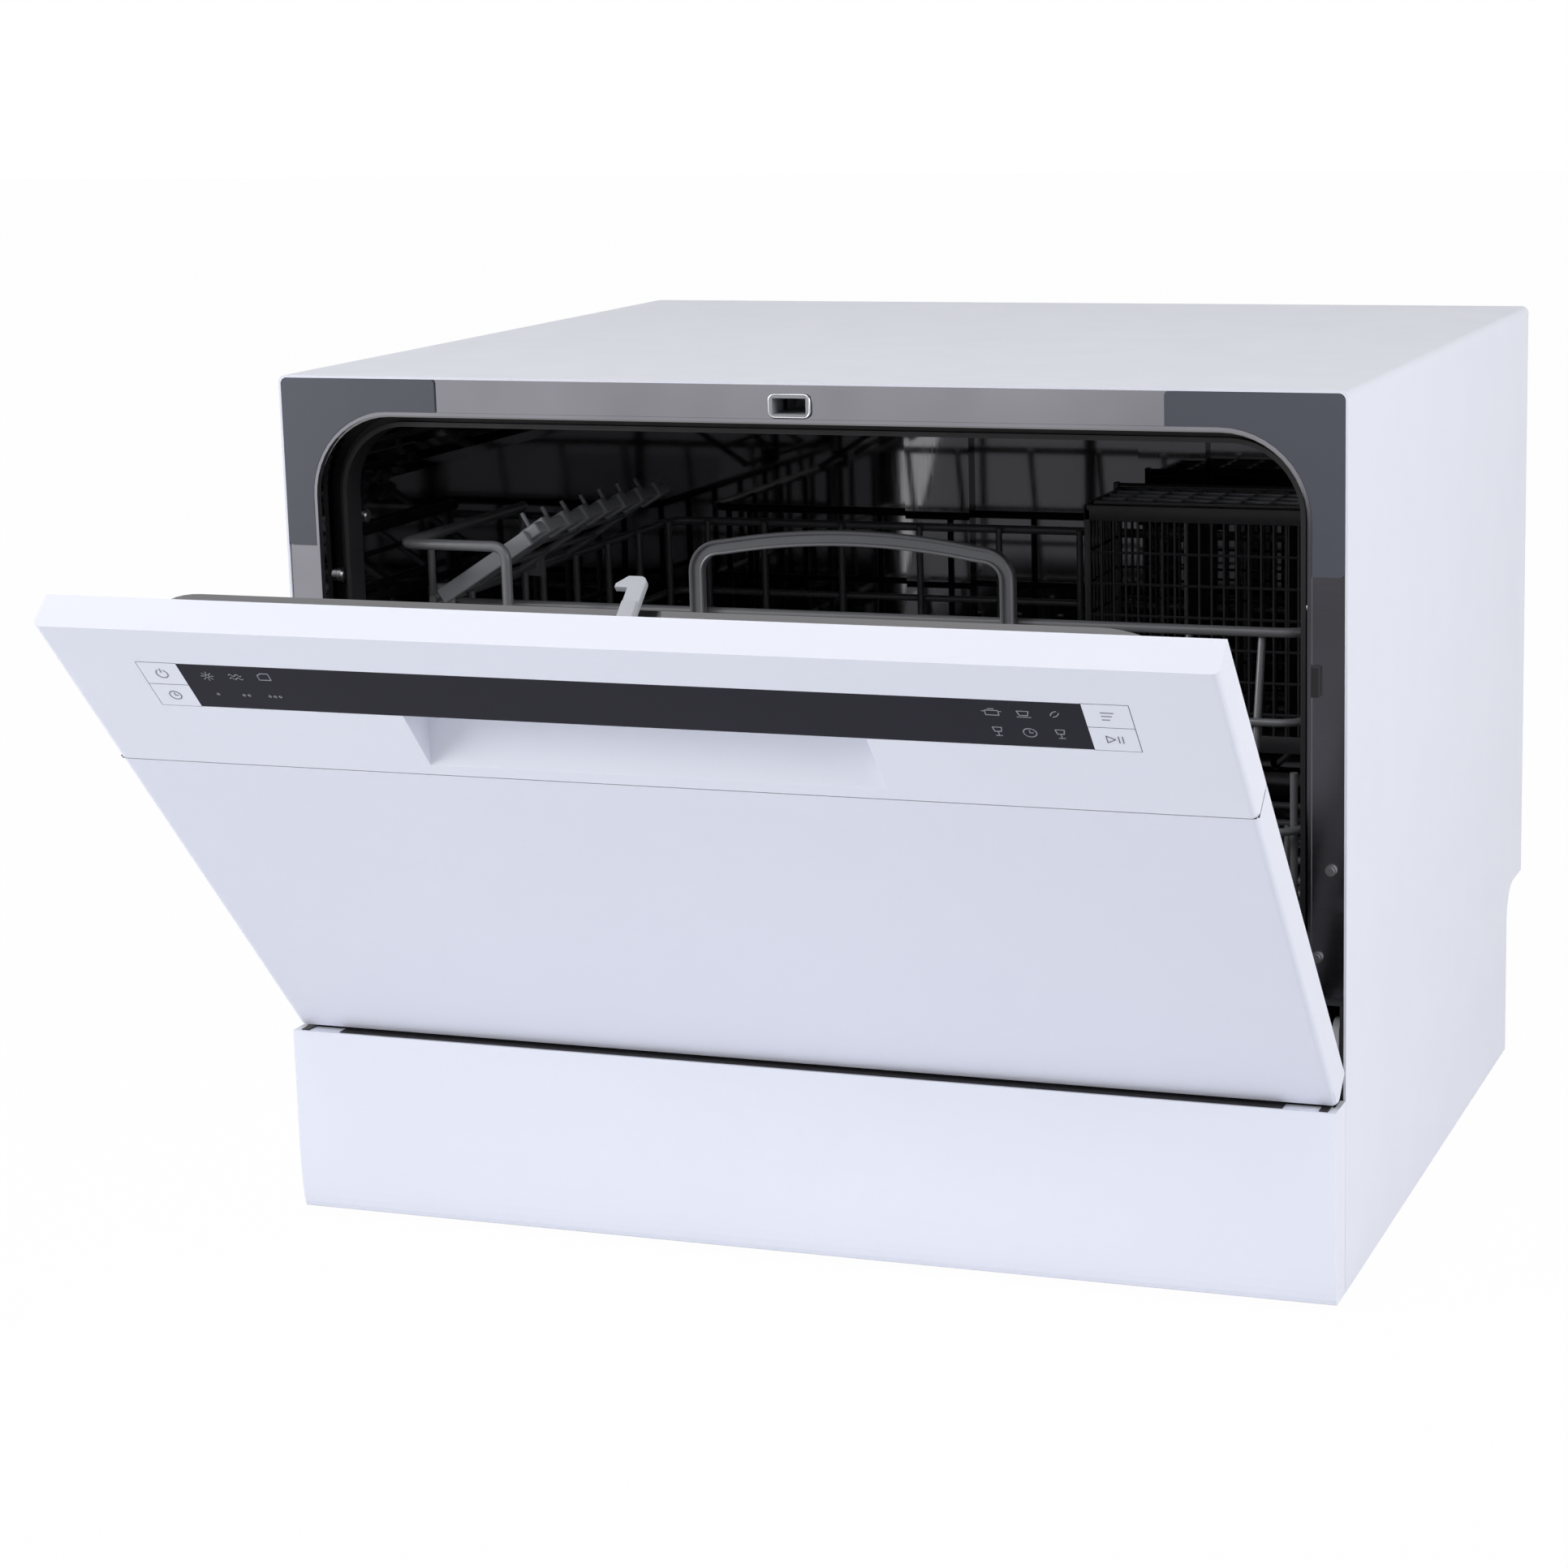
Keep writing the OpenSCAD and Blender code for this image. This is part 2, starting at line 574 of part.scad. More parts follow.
pump_z = sump_low + 20;
module wash_pump() color(dark) machine() difference() {
    union() {
        rod_x(sump_r + 14 + seat, sump_r + 44, arm_y, pump_z, 34);
        rod_x(sump_r + 44, sump_r + 116, arm_y, pump_z, 28);
        rod_x(sump_r + 116, sump_r + 122, arm_y, pump_z, 12);
        box([sump_r + 60, sump_r + 100], [arm_y - 14, arm_y + 14], [3 + seat, pump_z - 20]);
    }
    rod_x(sump_r + 10, sump_r + 30, arm_y, pump_z, 12);
}

drain_y = arm_y - sump_r - 10;
drain_z = sump_low + 12;
module drain_pump() color(dark) machine() {
    difference() {
        union() {
            rod_y(drain_y - 56, drain_y - seat, -30, drain_z, 18);
            rod_y(drain_y - 62, drain_y - 56, -30, drain_z, 8);
            box([-42, -18], [drain_y - 44, drain_y - 12], [3 + seat, drain_z - 12]);
            rod_z(6, 30, -60, drain_y - 20, 8);
            box([-60, -40], [drain_y - 26, drain_y - 14], [12, 26]);
        }
        rod_y(drain_y - 10, drain_y + 1, -30, drain_z, 7);
    }
}

module inline_heater() color(steel) machine() {
    rod_y(270, 380, -130, 40, 16);
    for (y = [276, 368]) rod_y(y, y + 6, -130, 40, 19);
    box([-142, -118], [300, 350], [3 + seat, 26]);
    box([-136, -124], [310, 336], [55, 66]);
}

port_y = rear_low_y + 1;
// Neck between the rear panel and each port's hose seat.
port_neck = 2;
module inlet_valve() color(white) machine() difference() {
    union() {
        box([port_x[0] - 18, port_x[0] + 18], [392, tray_rear - 2.5 - seat], [port_z[0] - 20, port_z[0] + 20]);
        rod_y(tray_rear - 4, port_y + port_neck, port_x[0], port_z[0], inlet_r - 0.4);
        rod_y(port_y + port_neck, port_y + port_neck + inlet_l, port_x[0], port_z[0], inlet_r);
        rod_z(port_z[0] + 19, port_z[0] + 27, port_x[0], 408, 6);
        box([port_x[0] - 12, port_x[0] + 12], [400, 420], [3 + seat, port_z[0] - 19]);
    }
    rod_y(port_y - 10, port_y + port_neck + inlet_l + 1, port_x[0], port_z[0], inlet_r - 3.5);
}
module inlet_hose() color(plastic_grey) machine() {
    side_x = (half_open + casing_in) / 2;
    wire(route([[port_x[0], 408, port_z[0] + 27 + seat], [port_x[0], 408, 97], [side_x, 408, 97],
        [side_x, 330, 97], [side_x, 330, 149.8]], 9, 4), 10, 10, aim = [1, 2, 3]);
}
module drain_connector() color(dark) machine() difference() {
    union() {
        rod_y(406, port_y + port_neck, port_x[1], port_z[1], drain_r - 0.3);
        rod_y(port_y + port_neck, port_y + port_neck + drain_l, port_x[1], port_z[1], drain_r);
        rod_y(tray_rear - 5.5, tray_rear - 2.5 - seat, port_x[1], port_z[1], drain_r + 5);
    }
    rod_y(400, port_y + port_neck + drain_l + 1, port_x[1], port_z[1], drain_r - 2);
}
module drain_hose() color(plastic_grey) machine()
    wire(route([[-60, drain_y - 20, 30 + seat], [-60, drain_y - 20, 42], [-76, drain_y - 20, 42],
        [-76, 388, 42], [port_x[1], 388, port_z[1]], [port_x[1], 406 - seat, port_z[1]]], 7.5, 4), 14, 10, aim = [1, 2, 3]);
module power_gland() color(rubber) machine() difference() {
    union() {
        rod_y(tray_rear - 12, port_y + 8, port_x[2], port_z[2], gland_r);
        rod_y(port_y + seat, port_y + 4, port_x[2], port_z[2], gland_r + 4);
        rod_y(tray_rear - 8, tray_rear - 2.5 - seat, port_x[2], port_z[2], gland_r + 3);
    }
    rod_y(tray_rear - 13, port_y + 9, port_x[2], port_z[2], gland_r - 4.5);
}
module air_break() color(white) machine() difference() {
    box([half_open + 2.2, casing_in - seat], [150, 350], [150, 350]);
    for (z = [180:40:300]) box([half_open + 4, half_open + 9], [165, 335], [z, z + 3]);
    box([half_open + 1, half_open + 5], [200, 300], [160, 172]);
}

// Door hinges.
arm_x = 263;
arm_w = 3;
bracket_x = 268;
module hinge_brackets() color(plastic_grey) machine() both_sides() difference() {
    hull() {
        rod_x(bracket_x, post_in - seat, -hinge_out, hinge_z, 5.5, 32);
        rod_x(bracket_x, post_in - seat, 9, hinge_z + 16.4, 10, 32);
        box([bracket_x, post_in - seat], [8, 24], [102, 112]);
    }
    rod_x(bracket_x - 1, post_in + 1, -hinge_out, hinge_z, hinge_pin_r);
}
module hinge_pins() color(steel) machine() both_sides()
    rod_x(arm_x - arm_w / 2 - 0.8, post_in - seat, -hinge_out, hinge_z, hinge_pin_r);

// Place of the spring hole on the lever below the hinge, with the door shut.
lever = [20, -22];
lever_rest = [-hinge_out + lever[0] * cos(door_rest) - lever[1] * sin(door_rest),
              hinge_z + lever[0] * sin(door_rest) + lever[1] * cos(door_rest)];
module hinge_arms() color(steel) on_door() both_sides() difference() {
    union() {
        rod_x(arm_x - arm_w / 2, arm_x + arm_w / 2, -hinge_out, hinge_z, 6);
        along_x(arm_x - arm_w / 2, arm_x + arm_w / 2) {
            translate([-hinge_out - 4, hinge_z]) square([9, 80]);
            polygon([[-hinge_out - 3, hinge_z - 3], [-hinge_out + lever[0] - 3, hinge_z + lever[1] - 3],
                [-hinge_out + lever[0] + 3, hinge_z + lever[1] + 3], [-hinge_out + 3, hinge_z + 3]]);
        }
        rod_x(arm_x - arm_w / 2, arm_x + arm_w / 2, -hinge_out + lever[0], hinge_z + lever[1], 4.5);
        box([arm_x - 12, arm_x + arm_w / 2], [door_face + door_sheet + seat, -hinge_out - 2], [150, 186]);
    }
    rod_x(arm_x - arm_w, arm_x + arm_w, -hinge_out, hinge_z, hinge_pin_r + turn_gap);
    rod_x(arm_x - arm_w, arm_x + arm_w, -hinge_out + lever[0], hinge_z + lever[1], 1.6);
}
module door_springs() color(steel) machine() both_sides() {
    span = [spring_foot[0] - lever_rest[0], spring_foot[1] - lever_rest[1]];
    length = norm(span);
    tilt = atan2(span[0], -span[1]);
    translate([arm_x, lever_rest[0], lever_rest[1]]) rotate([tilt, 0, 0]) {
        translate([3, 0, -16]) cylinder(h = 16, r = 1, $fn = 24);
        translate([0, 0, -length + 14]) cylinder(h = length - 28, r = 4.2, $fn = 48);
        translate([0.4, 0, -length]) cylinder(h = 15, r = 1, $fn = 24);
        translate([-1.8, 0, 0]) rotate([0, 90, 0]) cylinder(h = 5.6, r = 1, $fn = 24);
    }
}

rail_in = tub_half - 17;
module rack_rails() color(plastic_grey) machine() both_sides() {
    box([tub_half - 2.2, tub_half - seat / 2], [gasket_y - 2, tub_d - 11], [rail_z - 9, rail_z + 10]);
    box([rail_in, tub_half - 2.2 - seat], [gasket_y - 2, tub_d - 11], [rail_z - 1.6, rail_z]);
}
module case_screws() color(steel) machine() both_sides() {
    for (p = [[17, 329.5], [46, 356.2]]) {
        rod_x(tub_half - 2.4, tub_half - seat / 2, p[0], p[1], 3.6);
        rod_x(tub_half - 3.2, tub_half - 2.4, p[0], p[1], 2.4);
    }
    for (y = [60, 225, tub_d - 39]) rod_x(tub_half - 4.2, tub_half - 2.2 - seat / 2, y, rail_z + 5, 3);
    for (p = [[267.4, 208.1], [260.8, 165.5]]) {
        rod_y(-0.7, frame_face - seat / 5, p[0], p[1], 2.6);
        rod_y(-1.1, -0.7, p[0], p[1], 1.7);
    }
}

// Door pieces, drawn shut.
notch_in = 260.5;
module door_tray_outline(inset, r) polygon(concat([[-door_half + inset, 1]],
    arc([-door_half + inset + r, door_face + inset + r], r, 180, 270, 6),
    arc([door_half - inset - r, door_face + inset + r], r, 270, 360, 6), [[door_half - inset, 1]]));
module door_outer_panel() color(panel_white) on_door() difference() {
    linear_extrude_at(door_low, panel_low - door_seam) intersection() {
        door_tray_outline(0, door_r);
        translate([-door_half, door_face]) square([2 * door_half, door_t]);
    }
    linear_extrude_at(door_low + door_sheet, panel_low) door_tray_outline(door_sheet, door_r - door_sheet);
    both_sides() box([notch_in, door_half - door_sheet], [door_face + door_sheet, 1], [door_low - 1, door_low + 10]);
}

scoop_top = door_top - strip_drop - strip_h + 4;
scoop_low = door_top - strip_drop - strip_h - scoop_h;
strip_top = door_top - strip_drop;
strip_low = strip_top - strip_h;
button_x = strip_w / 2 + button_gap;
button_h = (strip_h - button_gap) / 2;
module scoop_outline(wall) polygon([[door_face - 1, scoop_low - wall], [door_face, scoop_low - wall],
    [door_face + scoop_d + wall, scoop_low + 17.5 - wall], [door_face + scoop_d + wall, scoop_top + wall],
    [door_face - 1, scoop_top + wall]]);
module control_panel() color(panel_white) on_door() {
    difference() {
        union() {
            difference() {
                linear_extrude_at(panel_low, door_top) intersection() {
                    door_tray_outline(0, door_r);
                    translate([-door_half, door_face]) square([2 * door_half, door_t]);
                }
                linear_extrude_at(panel_low + panel_t, door_top - panel_t) door_tray_outline(panel_t, door_r - panel_t);
            }
            intersection() {
                along_x(-scoop_w / 2 - 2, scoop_w / 2 + 2) scoop_outline(2);
                box([-door_half, door_half], [door_face, door_back - 1.2], [panel_low, door_top]);
            }
            for (s = [-1, 1], inset = [11.5, 71.5]) rod_y(door_face + 1, board_y - seat, s * (strip_w / 2 - inset), board_z[0] + 12, 4);
            for (x = [-235, -120, 120, 235]) box([x - 6, x + 6], [door_back - 8, door_back - 1.2], [panel_low + 2, panel_low + 12]);
        }
        box([-door_half + panel_t, door_half - panel_t], [door_back - 1.2, door_back + 1],
            [panel_low - 1, panel_low + panel_t + 1]);
        along_x(-scoop_w / 2, scoop_w / 2) scoop_outline(0);
        box([-strip_w / 2 - seat, strip_w / 2 + seat], [door_face - 1, door_face + strip_t], [strip_low - seat, strip_top + seat]);
        both_sides() box([button_x - button_gap, button_x + button_w + button_gap], [door_face - 1, door_face + 4],
            [strip_low - button_gap, strip_top + button_gap]);
    }
}
module display_strip() color(dark) on_door()
    box([-strip_w / 2, strip_w / 2], [door_face + 0.1, door_face + strip_t - seat / 2], [strip_low, strip_top]);

board_y = door_face + 9.2;
board_half = button_x + button_w + 5.85;
board_z = [strip_top - 21.3, strip_top + 1.1];
switch_z = [strip_top - 19.3, strip_top - 7.7];
switch_y = board_y - 1.4;
module control_board() color("#2f5d3a") on_door() {
    box([-board_half, board_half], [board_y, board_y + 1.6], board_z);
    for (s = [-1, 1], z = switch_z) {
        x = s * (button_x + button_w / 2);
        box([x - 3, x + 3], [switch_y, board_y + 0.2], [z - 2, z + 2]);
    }
    for (x = [-180, -60, 60, 180]) box([x - 12, x + 12], [board_y + 1.4, board_y + 3.6],
        [board_z[0] + 5.4, board_z[1] - 5]);
}
module push_button(side, level) on_door() {
    x0 = side > 0 ? button_x : -button_x - button_w;
    z0 = strip_low + level * (button_h + button_gap);
    box([x0, x0 + button_w], [door_face, door_face + button_d - 1.4], [z0, z0 + button_h]);
    rod_y(door_face + button_d - 2, switch_y - 1.5, x0 + button_w / 2, switch_z[level], 1.6);
}
module power_button() color(panel_white) push_button(-1, 1);
module delay_button() color(panel_white) push_button(-1, 0);
module program_button() color(panel_white) push_button(1, 1);
module start_button() color(panel_white) push_button(1, 0);

plug_half = half_open - plug_gap;
plug_low = 120.5;
plug_top = opening_top - 3.6;
liner_t = 1;
liner_back = door_back - 0.1;
bay_x = [-66, 66];
bay_z = [185, 297];
module door_liner() color(steel) on_door() difference() {
    union() {
        difference() {
            box([-door_half + panel_t + 0.4, door_half - panel_t - 0.4], [liner_back - liner_t, liner_back],
                [door_low + 2.6, door_top - panel_t - 0.4]);
            along_y(liner_back - 3, liner_back + 1) polygon(slab(-plug_half + liner_t, plug_half - liner_t,
                plug_low + liner_t, plug_top - liner_t, plug_r - liner_t, plug_r - liner_t));
            both_sides() box([notch_in - 1, door_half + 1], [liner_back - 3, liner_back + 1], [door_low, stile_foot + 4]);
        }
        along_y(liner_back - liner_t, plug_face) difference() {
            polygon(slab(-plug_half, plug_half, plug_low, plug_top, plug_r, plug_r));
            polygon(slab(-plug_half + liner_t, plug_half - liner_t, plug_low + liner_t, plug_top - liner_t,
                plug_r - liner_t, plug_r - liner_t));
        }
        along_y(plug_face - liner_t, plug_face) polygon(slab(-plug_half, plug_half, plug_low, plug_top, plug_r, plug_r));
    }
    box([bay_x[0] - loose, bay_x[1] + loose], [plug_face - 3, plug_face + 1], [bay_z[0] - loose, bay_z[1] + loose]);
}
module door_insulation() color(dark) on_door()
    box([-236, 236], [door_face + door_sheet + seat, door_back - 6], [126, panel_low - 6]);

cup_x = [-58, 6];
cup_z = [202, 264];
lid_y = plug_face + 1.6;
lid_pivot = [lid_y + 1.5, cup_z[0] - 6.5];
cap_x = 36;
cap_z = 236;
module dispenser_body() color(plastic_grey) on_door() difference() {
    union() {
        box(bay_x, [door_back - 2, plug_face + 1.1], bay_z);
        for (x = [cup_x[0] - 5.4, cup_x[1] + 2.4]) box([x, x + 3], [plug_face, lid_pivot[0] + 2.4],
            [lid_pivot[1] - 2.6, lid_pivot[1] + 2.6]);
        rod_x(cup_x[0] - 5.4, cup_x[1] + 5.4, lid_pivot[0], lid_pivot[1], 0.9);
    }
    box(cup_x, [plug_face - 15, plug_face + 2], cup_z);
    rod_y(plug_face - 14, plug_face + 2, cap_x, cap_z, 11 + turn_gap);
}
module detergent_lid() color("#c9ced6") on_door() difference() {
    union() {
        box([cup_x[0] - 2, cup_x[1] + 2], [lid_y, lid_y + 3], [lid_pivot[1], cup_z[1] + 3]);
        rod_x(cup_x[0] - 2, cup_x[1] + 2, lid_pivot[0], lid_pivot[1], 1.9);
        box([-36, -16], [lid_y + 2, lid_y + 4.4], [cup_z[1] - 8, cup_z[1] - 2]);
    }
    rod_x(cup_x[0] - 3, cup_x[1] + 3, lid_pivot[0], lid_pivot[1], 0.9 + turn_gap);
}
module rinse_cap() color("#c9ced6") on_door() {
    rod_y(plug_face - 8, plug_face + 2, cap_x, cap_z, 11);
    rod_y(plug_face + 1.1 + seat, plug_face + 5, cap_x, cap_z, 15);
    box([cap_x - 13, cap_x + 13], [plug_face + 4.8, plug_face + 7.4], [cap_z - 2, cap_z + 2]);
}

hook_z = [slot_z - 3.6, slot_z];
module latch_hook() color("#c6cad2") on_door() {
    along_z_plate(hook_z) polygon(concat([[9, door_back + 1]], arc([5.5, 23], 3.5, 0, 90, 4),
        [[0, 26.5], [-5, 22], [-5, 20], [1, 20], [1, door_back + 1]]));
    box([-9, 15], [door_back, door_back + 2], [plug_top + 2, door_top - 6]);
}
module along_z_plate(z) translate([0, 0, z[0]]) linear_extrude(z[1] - z[0]) children();

module door_screws() color(steel) on_door() both_sides() {
    for (z = [190, 265, door_top - 51.4]) rod_y(liner_back + seat / 2, liner_back + 1.6, 261, z, 3.2);
    for (x = [90, 200]) rod_y(liner_back + seat / 2, liner_back + 1.6, x, door_low + 9, 3.2);
}

// Rack.
floor_z = rack_floor;
rack_rear = tub_d - rack_gap;
long_z = floor_z + wire_d + 0.1;
mid_x = rack_x + wire_d + 0.1;
rim_x = rack_x + (wire_d + rim_d) / 2 + 0.1;
function front_line(z) = rack_front + wire_d / 2
    + (z - long_z) * (rim_front + 0.7 - rack_front) / (rim_z + 1 - long_z);
function front_of(z) = front_line(z) - 1.04 * wire_d - 0.1;
mid_levels = [210, 262];
post_y = 75;
raised_x = rack_x + 2;
leg_x = 175;

module side_hoop(y, left_z, right_z) wire(route([[-rack_x, y, left_z], [-rack_x, y, floor_z],
    [rack_x, y, floor_z], [rack_x, y, right_z]], 5, 3), wire_d);
module long_hoop(x) wire(route([[x, front_line(rim_z + 1), rim_z + 1], [x, front_line(long_z), long_z],
    [x, rack_rear, long_z], [x, rack_rear, rim_z + 1]], 5, 3), wire_d);
module rim_loop(x, front, rear, z, d) wire(loop_route([[-x, front, z], [x, front, z], [x, rear, z], [-x, rear, z]],
    14, 5), d, closed = true);

tine_rows = [150, 222, 294];
row_z = long_z + wire_d + 0.1;
module tine(x, y, h) translate([x, y, row_z + wire_d / 2 + 0.1]) rotate([-8, 0, 0]) cylinder(h = h, r = 1.7, $fn = 24);
module rack_frame() color(wire_grey) machine() {
    for (y = [120:45:rack_rear - 14]) side_hoop(y, rim_z + 1, rim_z + 1);
    side_hoop(post_y, raised_z - raised_d / 2 - 0.1, 238);
    side_hoop(raised_rear, raised_z - raised_d / 2 - 0.1, rim_z + 1);
    for (x = concat([-212, 212], [for (x = [-175:50:175]) x])) long_hoop(x);
    rim_loop(rim_x, rim_front - 2, rack_rear + (wire_d + rim_d) / 2 + 0.1, rim_z, rim_d);
    for (z = mid_levels) rim_loop(mid_x, front_of(z), rack_rear + wire_d + 0.1, z, wire_d);
    rod_x(-215, 215, front_of(237), 237, wire_d / 2);
    wire(route([[-raised_x, raised_rear + 6, raised_z], [-raised_x, raised_front, raised_z],
        [-leg_x, raised_front, raised_z], [-leg_x, raised_front, mid_levels[0] + (wire_d + raised_d) / 2 + 0.1],
        [-leg_x, front_of(mid_levels[0]) + 2, mid_levels[0] + (wire_d + raised_d) / 2 + 0.1]], 7, 4), raised_d);
    for (y = tine_rows) rod_x(-222, y > 250 ? 30 : 222, y, row_z, wire_d / 2);
    for (y = tine_rows, x = [-205:tine_pitch:20]) tine(x, y, tine_h);
    for (y = [tine_rows[0], tine_rows[1]], x = [70:35:210]) tine(x, y, tine_h / 2);
}

handle_y = rim_front - 2 - rim_d / 2 - 0.2;
handle_d = 5.7;
handle_r = 13;
handle_low = 250;
function crown(x) = handle_z - handle_w / 2 - handle_drop * pow(x / (handle_x - 11), 2);
function side_step(path, i, w) =
    let (a = path[max(i - 1, 0)], b = path[min(i + 1, len(path) - 1)], t = unit(b - a))
    path[i] + w / 2 * [-t[1], t[0]];
module ribbon(path, w) polygon(concat([for (i = [0:len(path) - 1]) side_step(path, i, w)],
    [for (i = [len(path) - 1:-1:0]) side_step(path, i, -w)]));
module rack_handle() color(wire_grey) machine() {
    inner_x = handle_x - handle_r;
    z = crown(inner_x) - handle_r * sin(82);
    path = concat([[-handle_x, handle_low]], arc([-inner_x, z], handle_r, 180, 98, 8),
        [for (k = [-6:6]) [k * (inner_x - 4) / 6, crown(k * (inner_x - 4) / 6)]],
        arc([inner_x, z], handle_r, 82, 0, 8), [[handle_x, handle_low]]);
    along_y(handle_y - handle_d, handle_y) ribbon(path, handle_w);
}

wheel_y = [120, rack_rear - 59];
wheel_x = rack_x + 7;
wheel_z = rail_z + loose + wheel_r;
shelf_x = -(rack_x - wire_d - 0.2);
plate_in = rack_x + wire_d / 2 + 0.2;
module rack_fittings() color(plastic_grey) machine() {
    both_sides() for (y = wheel_y) {
        hull() {
            rod_x(plate_in, plate_in + 2.2, y, wheel_z, 8, 32);
            box([plate_in, plate_in + 2.2], [y - 15, y + 15], [188, 198]);
        }
        rod_x(plate_in + 1, wheel_x - 0.3, y, wheel_z, 5);
        rod_x(plate_in + 1, wheel_x + wheel_w + 2.2, y, wheel_z, wheel_pin_r);
        rod_x(wheel_x + wheel_w + loose, wheel_x + wheel_w + 2.2, y, wheel_z, wheel_pin_r + 2);
    }
    for (y = [post_y, raised_rear]) difference() {
        box([-rim_x + rim_d / 2 + 0.2, shelf_x + 4.4], [y + wire_d / 2 + 0.1, y + 8], [shelf_z - 6, shelf_z + 6]);
        rod_y(y, y + 10, shelf_x, shelf_z, wire_d / 2 + turn_gap);
    }
}
module wheel_pair(y) machine() both_sides() difference() {
    union() {
        rod_x(wheel_x, wheel_x + wheel_w, y, wheel_z, wheel_r - 1);
        rod_x(wheel_x + 1, wheel_x + wheel_w - 1, y, wheel_z, wheel_r);
    }
    rod_x(wheel_x - 1, wheel_x + wheel_w + 1, y, wheel_z, wheel_pin_r + turn_gap);
    for (a = [0:60:300]) translate([wheel_x, y, wheel_z]) rotate([a, 0, 0]) translate([-1, 6.4, 0])
        rotate([0, 90, 0]) cylinder(h = wheel_w + 2, r = 1.5, $fn = 24);
}
module rack_wheels_front() color(plastic_grey) wheel_pair(wheel_y[0]);
module rack_wheels_rear() color(plastic_grey) wheel_pair(wheel_y[1]);

shelf_y = 66;
shelf_arms = [shelf_y + 3, shelf_y + 54, shelf_y + 105, shelf_y + shelf_l - 3];
module on_shelf() machine() translate([shelf_x, 0, shelf_z]) rotate([0, -shelf_rest, 0]) children();
module cup_shelf() color(wire_grey) on_shelf() {
    r = wire_d / 2;
    rod_y(shelf_y, shelf_y + shelf_l, 0, 0, r);
    for (y = shelf_arms) rod_x(r / 2, shelf_reach - 4, y, 0, r);
    for (x = [22, 44]) rod_y(shelf_y + 3, shelf_y + shelf_l - 3, x, 0, r - 0.4);
}
module cup_shelf_strip() color(plastic_grey) on_shelf() {
    clip_y = [for (k = [0:6]) shelf_y + 11 + k * (shelf_l - 24) / 6];
    difference() {
        union() {
            box([shelf_reach - 8, shelf_reach + 4], [shelf_y, shelf_y + shelf_l], [-3.4, 3.4]);
            for (y = clip_y) box([shelf_reach - 9.5, shelf_reach + 5.5], [y - 3.5, y + 3.5], [-4.6, 4.6]);
        }
        for (y = shelf_arms) rod_x(shelf_reach - 10, shelf_reach - 4 + seat, y, 0, wire_d / 2 + seat);
    }
    for (y = clip_y) rod_z(4, 12, shelf_reach - 5, y, 1.4);
    arm_t = 3.4;
    box([6, shelf_reach - 6], [shelf_y + 0.6 - arm_t, shelf_y + 0.6], [-6, 2.5]);
}

// Cutlery basket at the right rear of the rack.
basket_y1 = rack_rear - wire_d / 2 - loose;
basket_y0 = basket_y1 - basket_d;
basket_x1 = basket_x + basket_w;
basket_low = basket_top - basket_h;
lid_axis = [basket_y1 - 2.6, basket_top + loose + 2.3];
basket_slot = 4.4;
basket_pitch = 8;
basket_slot_h = 34;
module cutlery_basket() color(dark) machine() {
    long_z = [basket_low + basket_t + seat, basket_top];
    short_z = [basket_low + basket_t + seat, basket_top - 1 - seat];
    between = [basket_y0 + basket_t + seat, basket_y1 - basket_t - seat];
    rows = [for (lift = [12, 52, 92]) basket_low + lift];
    box([basket_x, basket_x1], [basket_y0, basket_y1], [basket_low, basket_low + basket_t]);
    // The walls stand on the floor, each with rows of slots.
    difference() {
        for (y = [basket_y0, basket_y1 - basket_t]) box([basket_x, basket_x1], [y, y + basket_t], long_z);
        for (x = [basket_x + basket_pitch:basket_pitch:basket_x1 - 12], z = rows)
            box([x, x + basket_slot], [basket_y0 - 1, basket_y1 + 1], [z, z + basket_slot_h]);
    }
    difference() {
        for (x = [basket_x, basket_x1 - basket_t]) box([x, x + basket_t], between, short_z);
        for (y = [basket_y0 + basket_pitch:basket_pitch:basket_y1 - 12], z = rows)
            box([basket_x - 1, basket_x1 + 1], [y, y + basket_slot], [z, z + basket_slot_h]);
    }
    // Two dividers stand between the long walls.
    bay = (basket_w - 4 * basket_t) / 3;
    for (x = [basket_x + basket_t + bay, basket_x + 2 * (basket_t + bay)]) box([x, x + basket_t], between, short_z);
    // Two hooks hang over the rack's rim.
    hook_top = rim_z + rim_d / 2 + 0.3;
    rim_back = rack_rear + wire_d / 2 + rim_d + 0.1;
    for (x = [basket_x + 36, basket_x + 138]) {
        box([x, x + 14], [basket_y1 - 1, rim_back + 2.3], [hook_top, hook_top + 2.5]);
        box([x, x + 14], [rim_back + 0.3, rim_back + 2.3], [hook_top - 8, hook_top + 2.5]);
    }
    // The ears on the rear wall carry the lid's rod.
    for (x = [basket_x, basket_x1 - 3])
        box([x, x + 3], [basket_y1 - 5.2, basket_y1], [basket_top + seat, lid_axis[1] + 2.6]);
    rod_x(basket_x, basket_x1, lid_axis[0], lid_axis[1], 1);
}
module cutlery_lid() color(dark) machine() difference() {
    union() {
        box([basket_x + 3.4, basket_x1 - 3.4], [basket_y0 + 1, lid_axis[0]], [basket_top + loose, basket_top + loose + 2.2]);
        rod_x(basket_x + 3.4, basket_x1 - 3.4, lid_axis[0], lid_axis[1], 2.2);
    }
    rod_x(basket_x, basket_x1, lid_axis[0], lid_axis[1], 1 + turn_gap);
    cell = (basket_w - 10) / 8;
    for (k = [0:7], j = [0:2]) {
        x = basket_x + 5 + k * cell;
        y = basket_y0 + 3 + j * (basket_d - 9) / 3;
        box([x + 1, x + cell - 1], [y, y + (basket_d - 9) / 3 - 2], [basket_top, basket_top + 4]);
    }
}

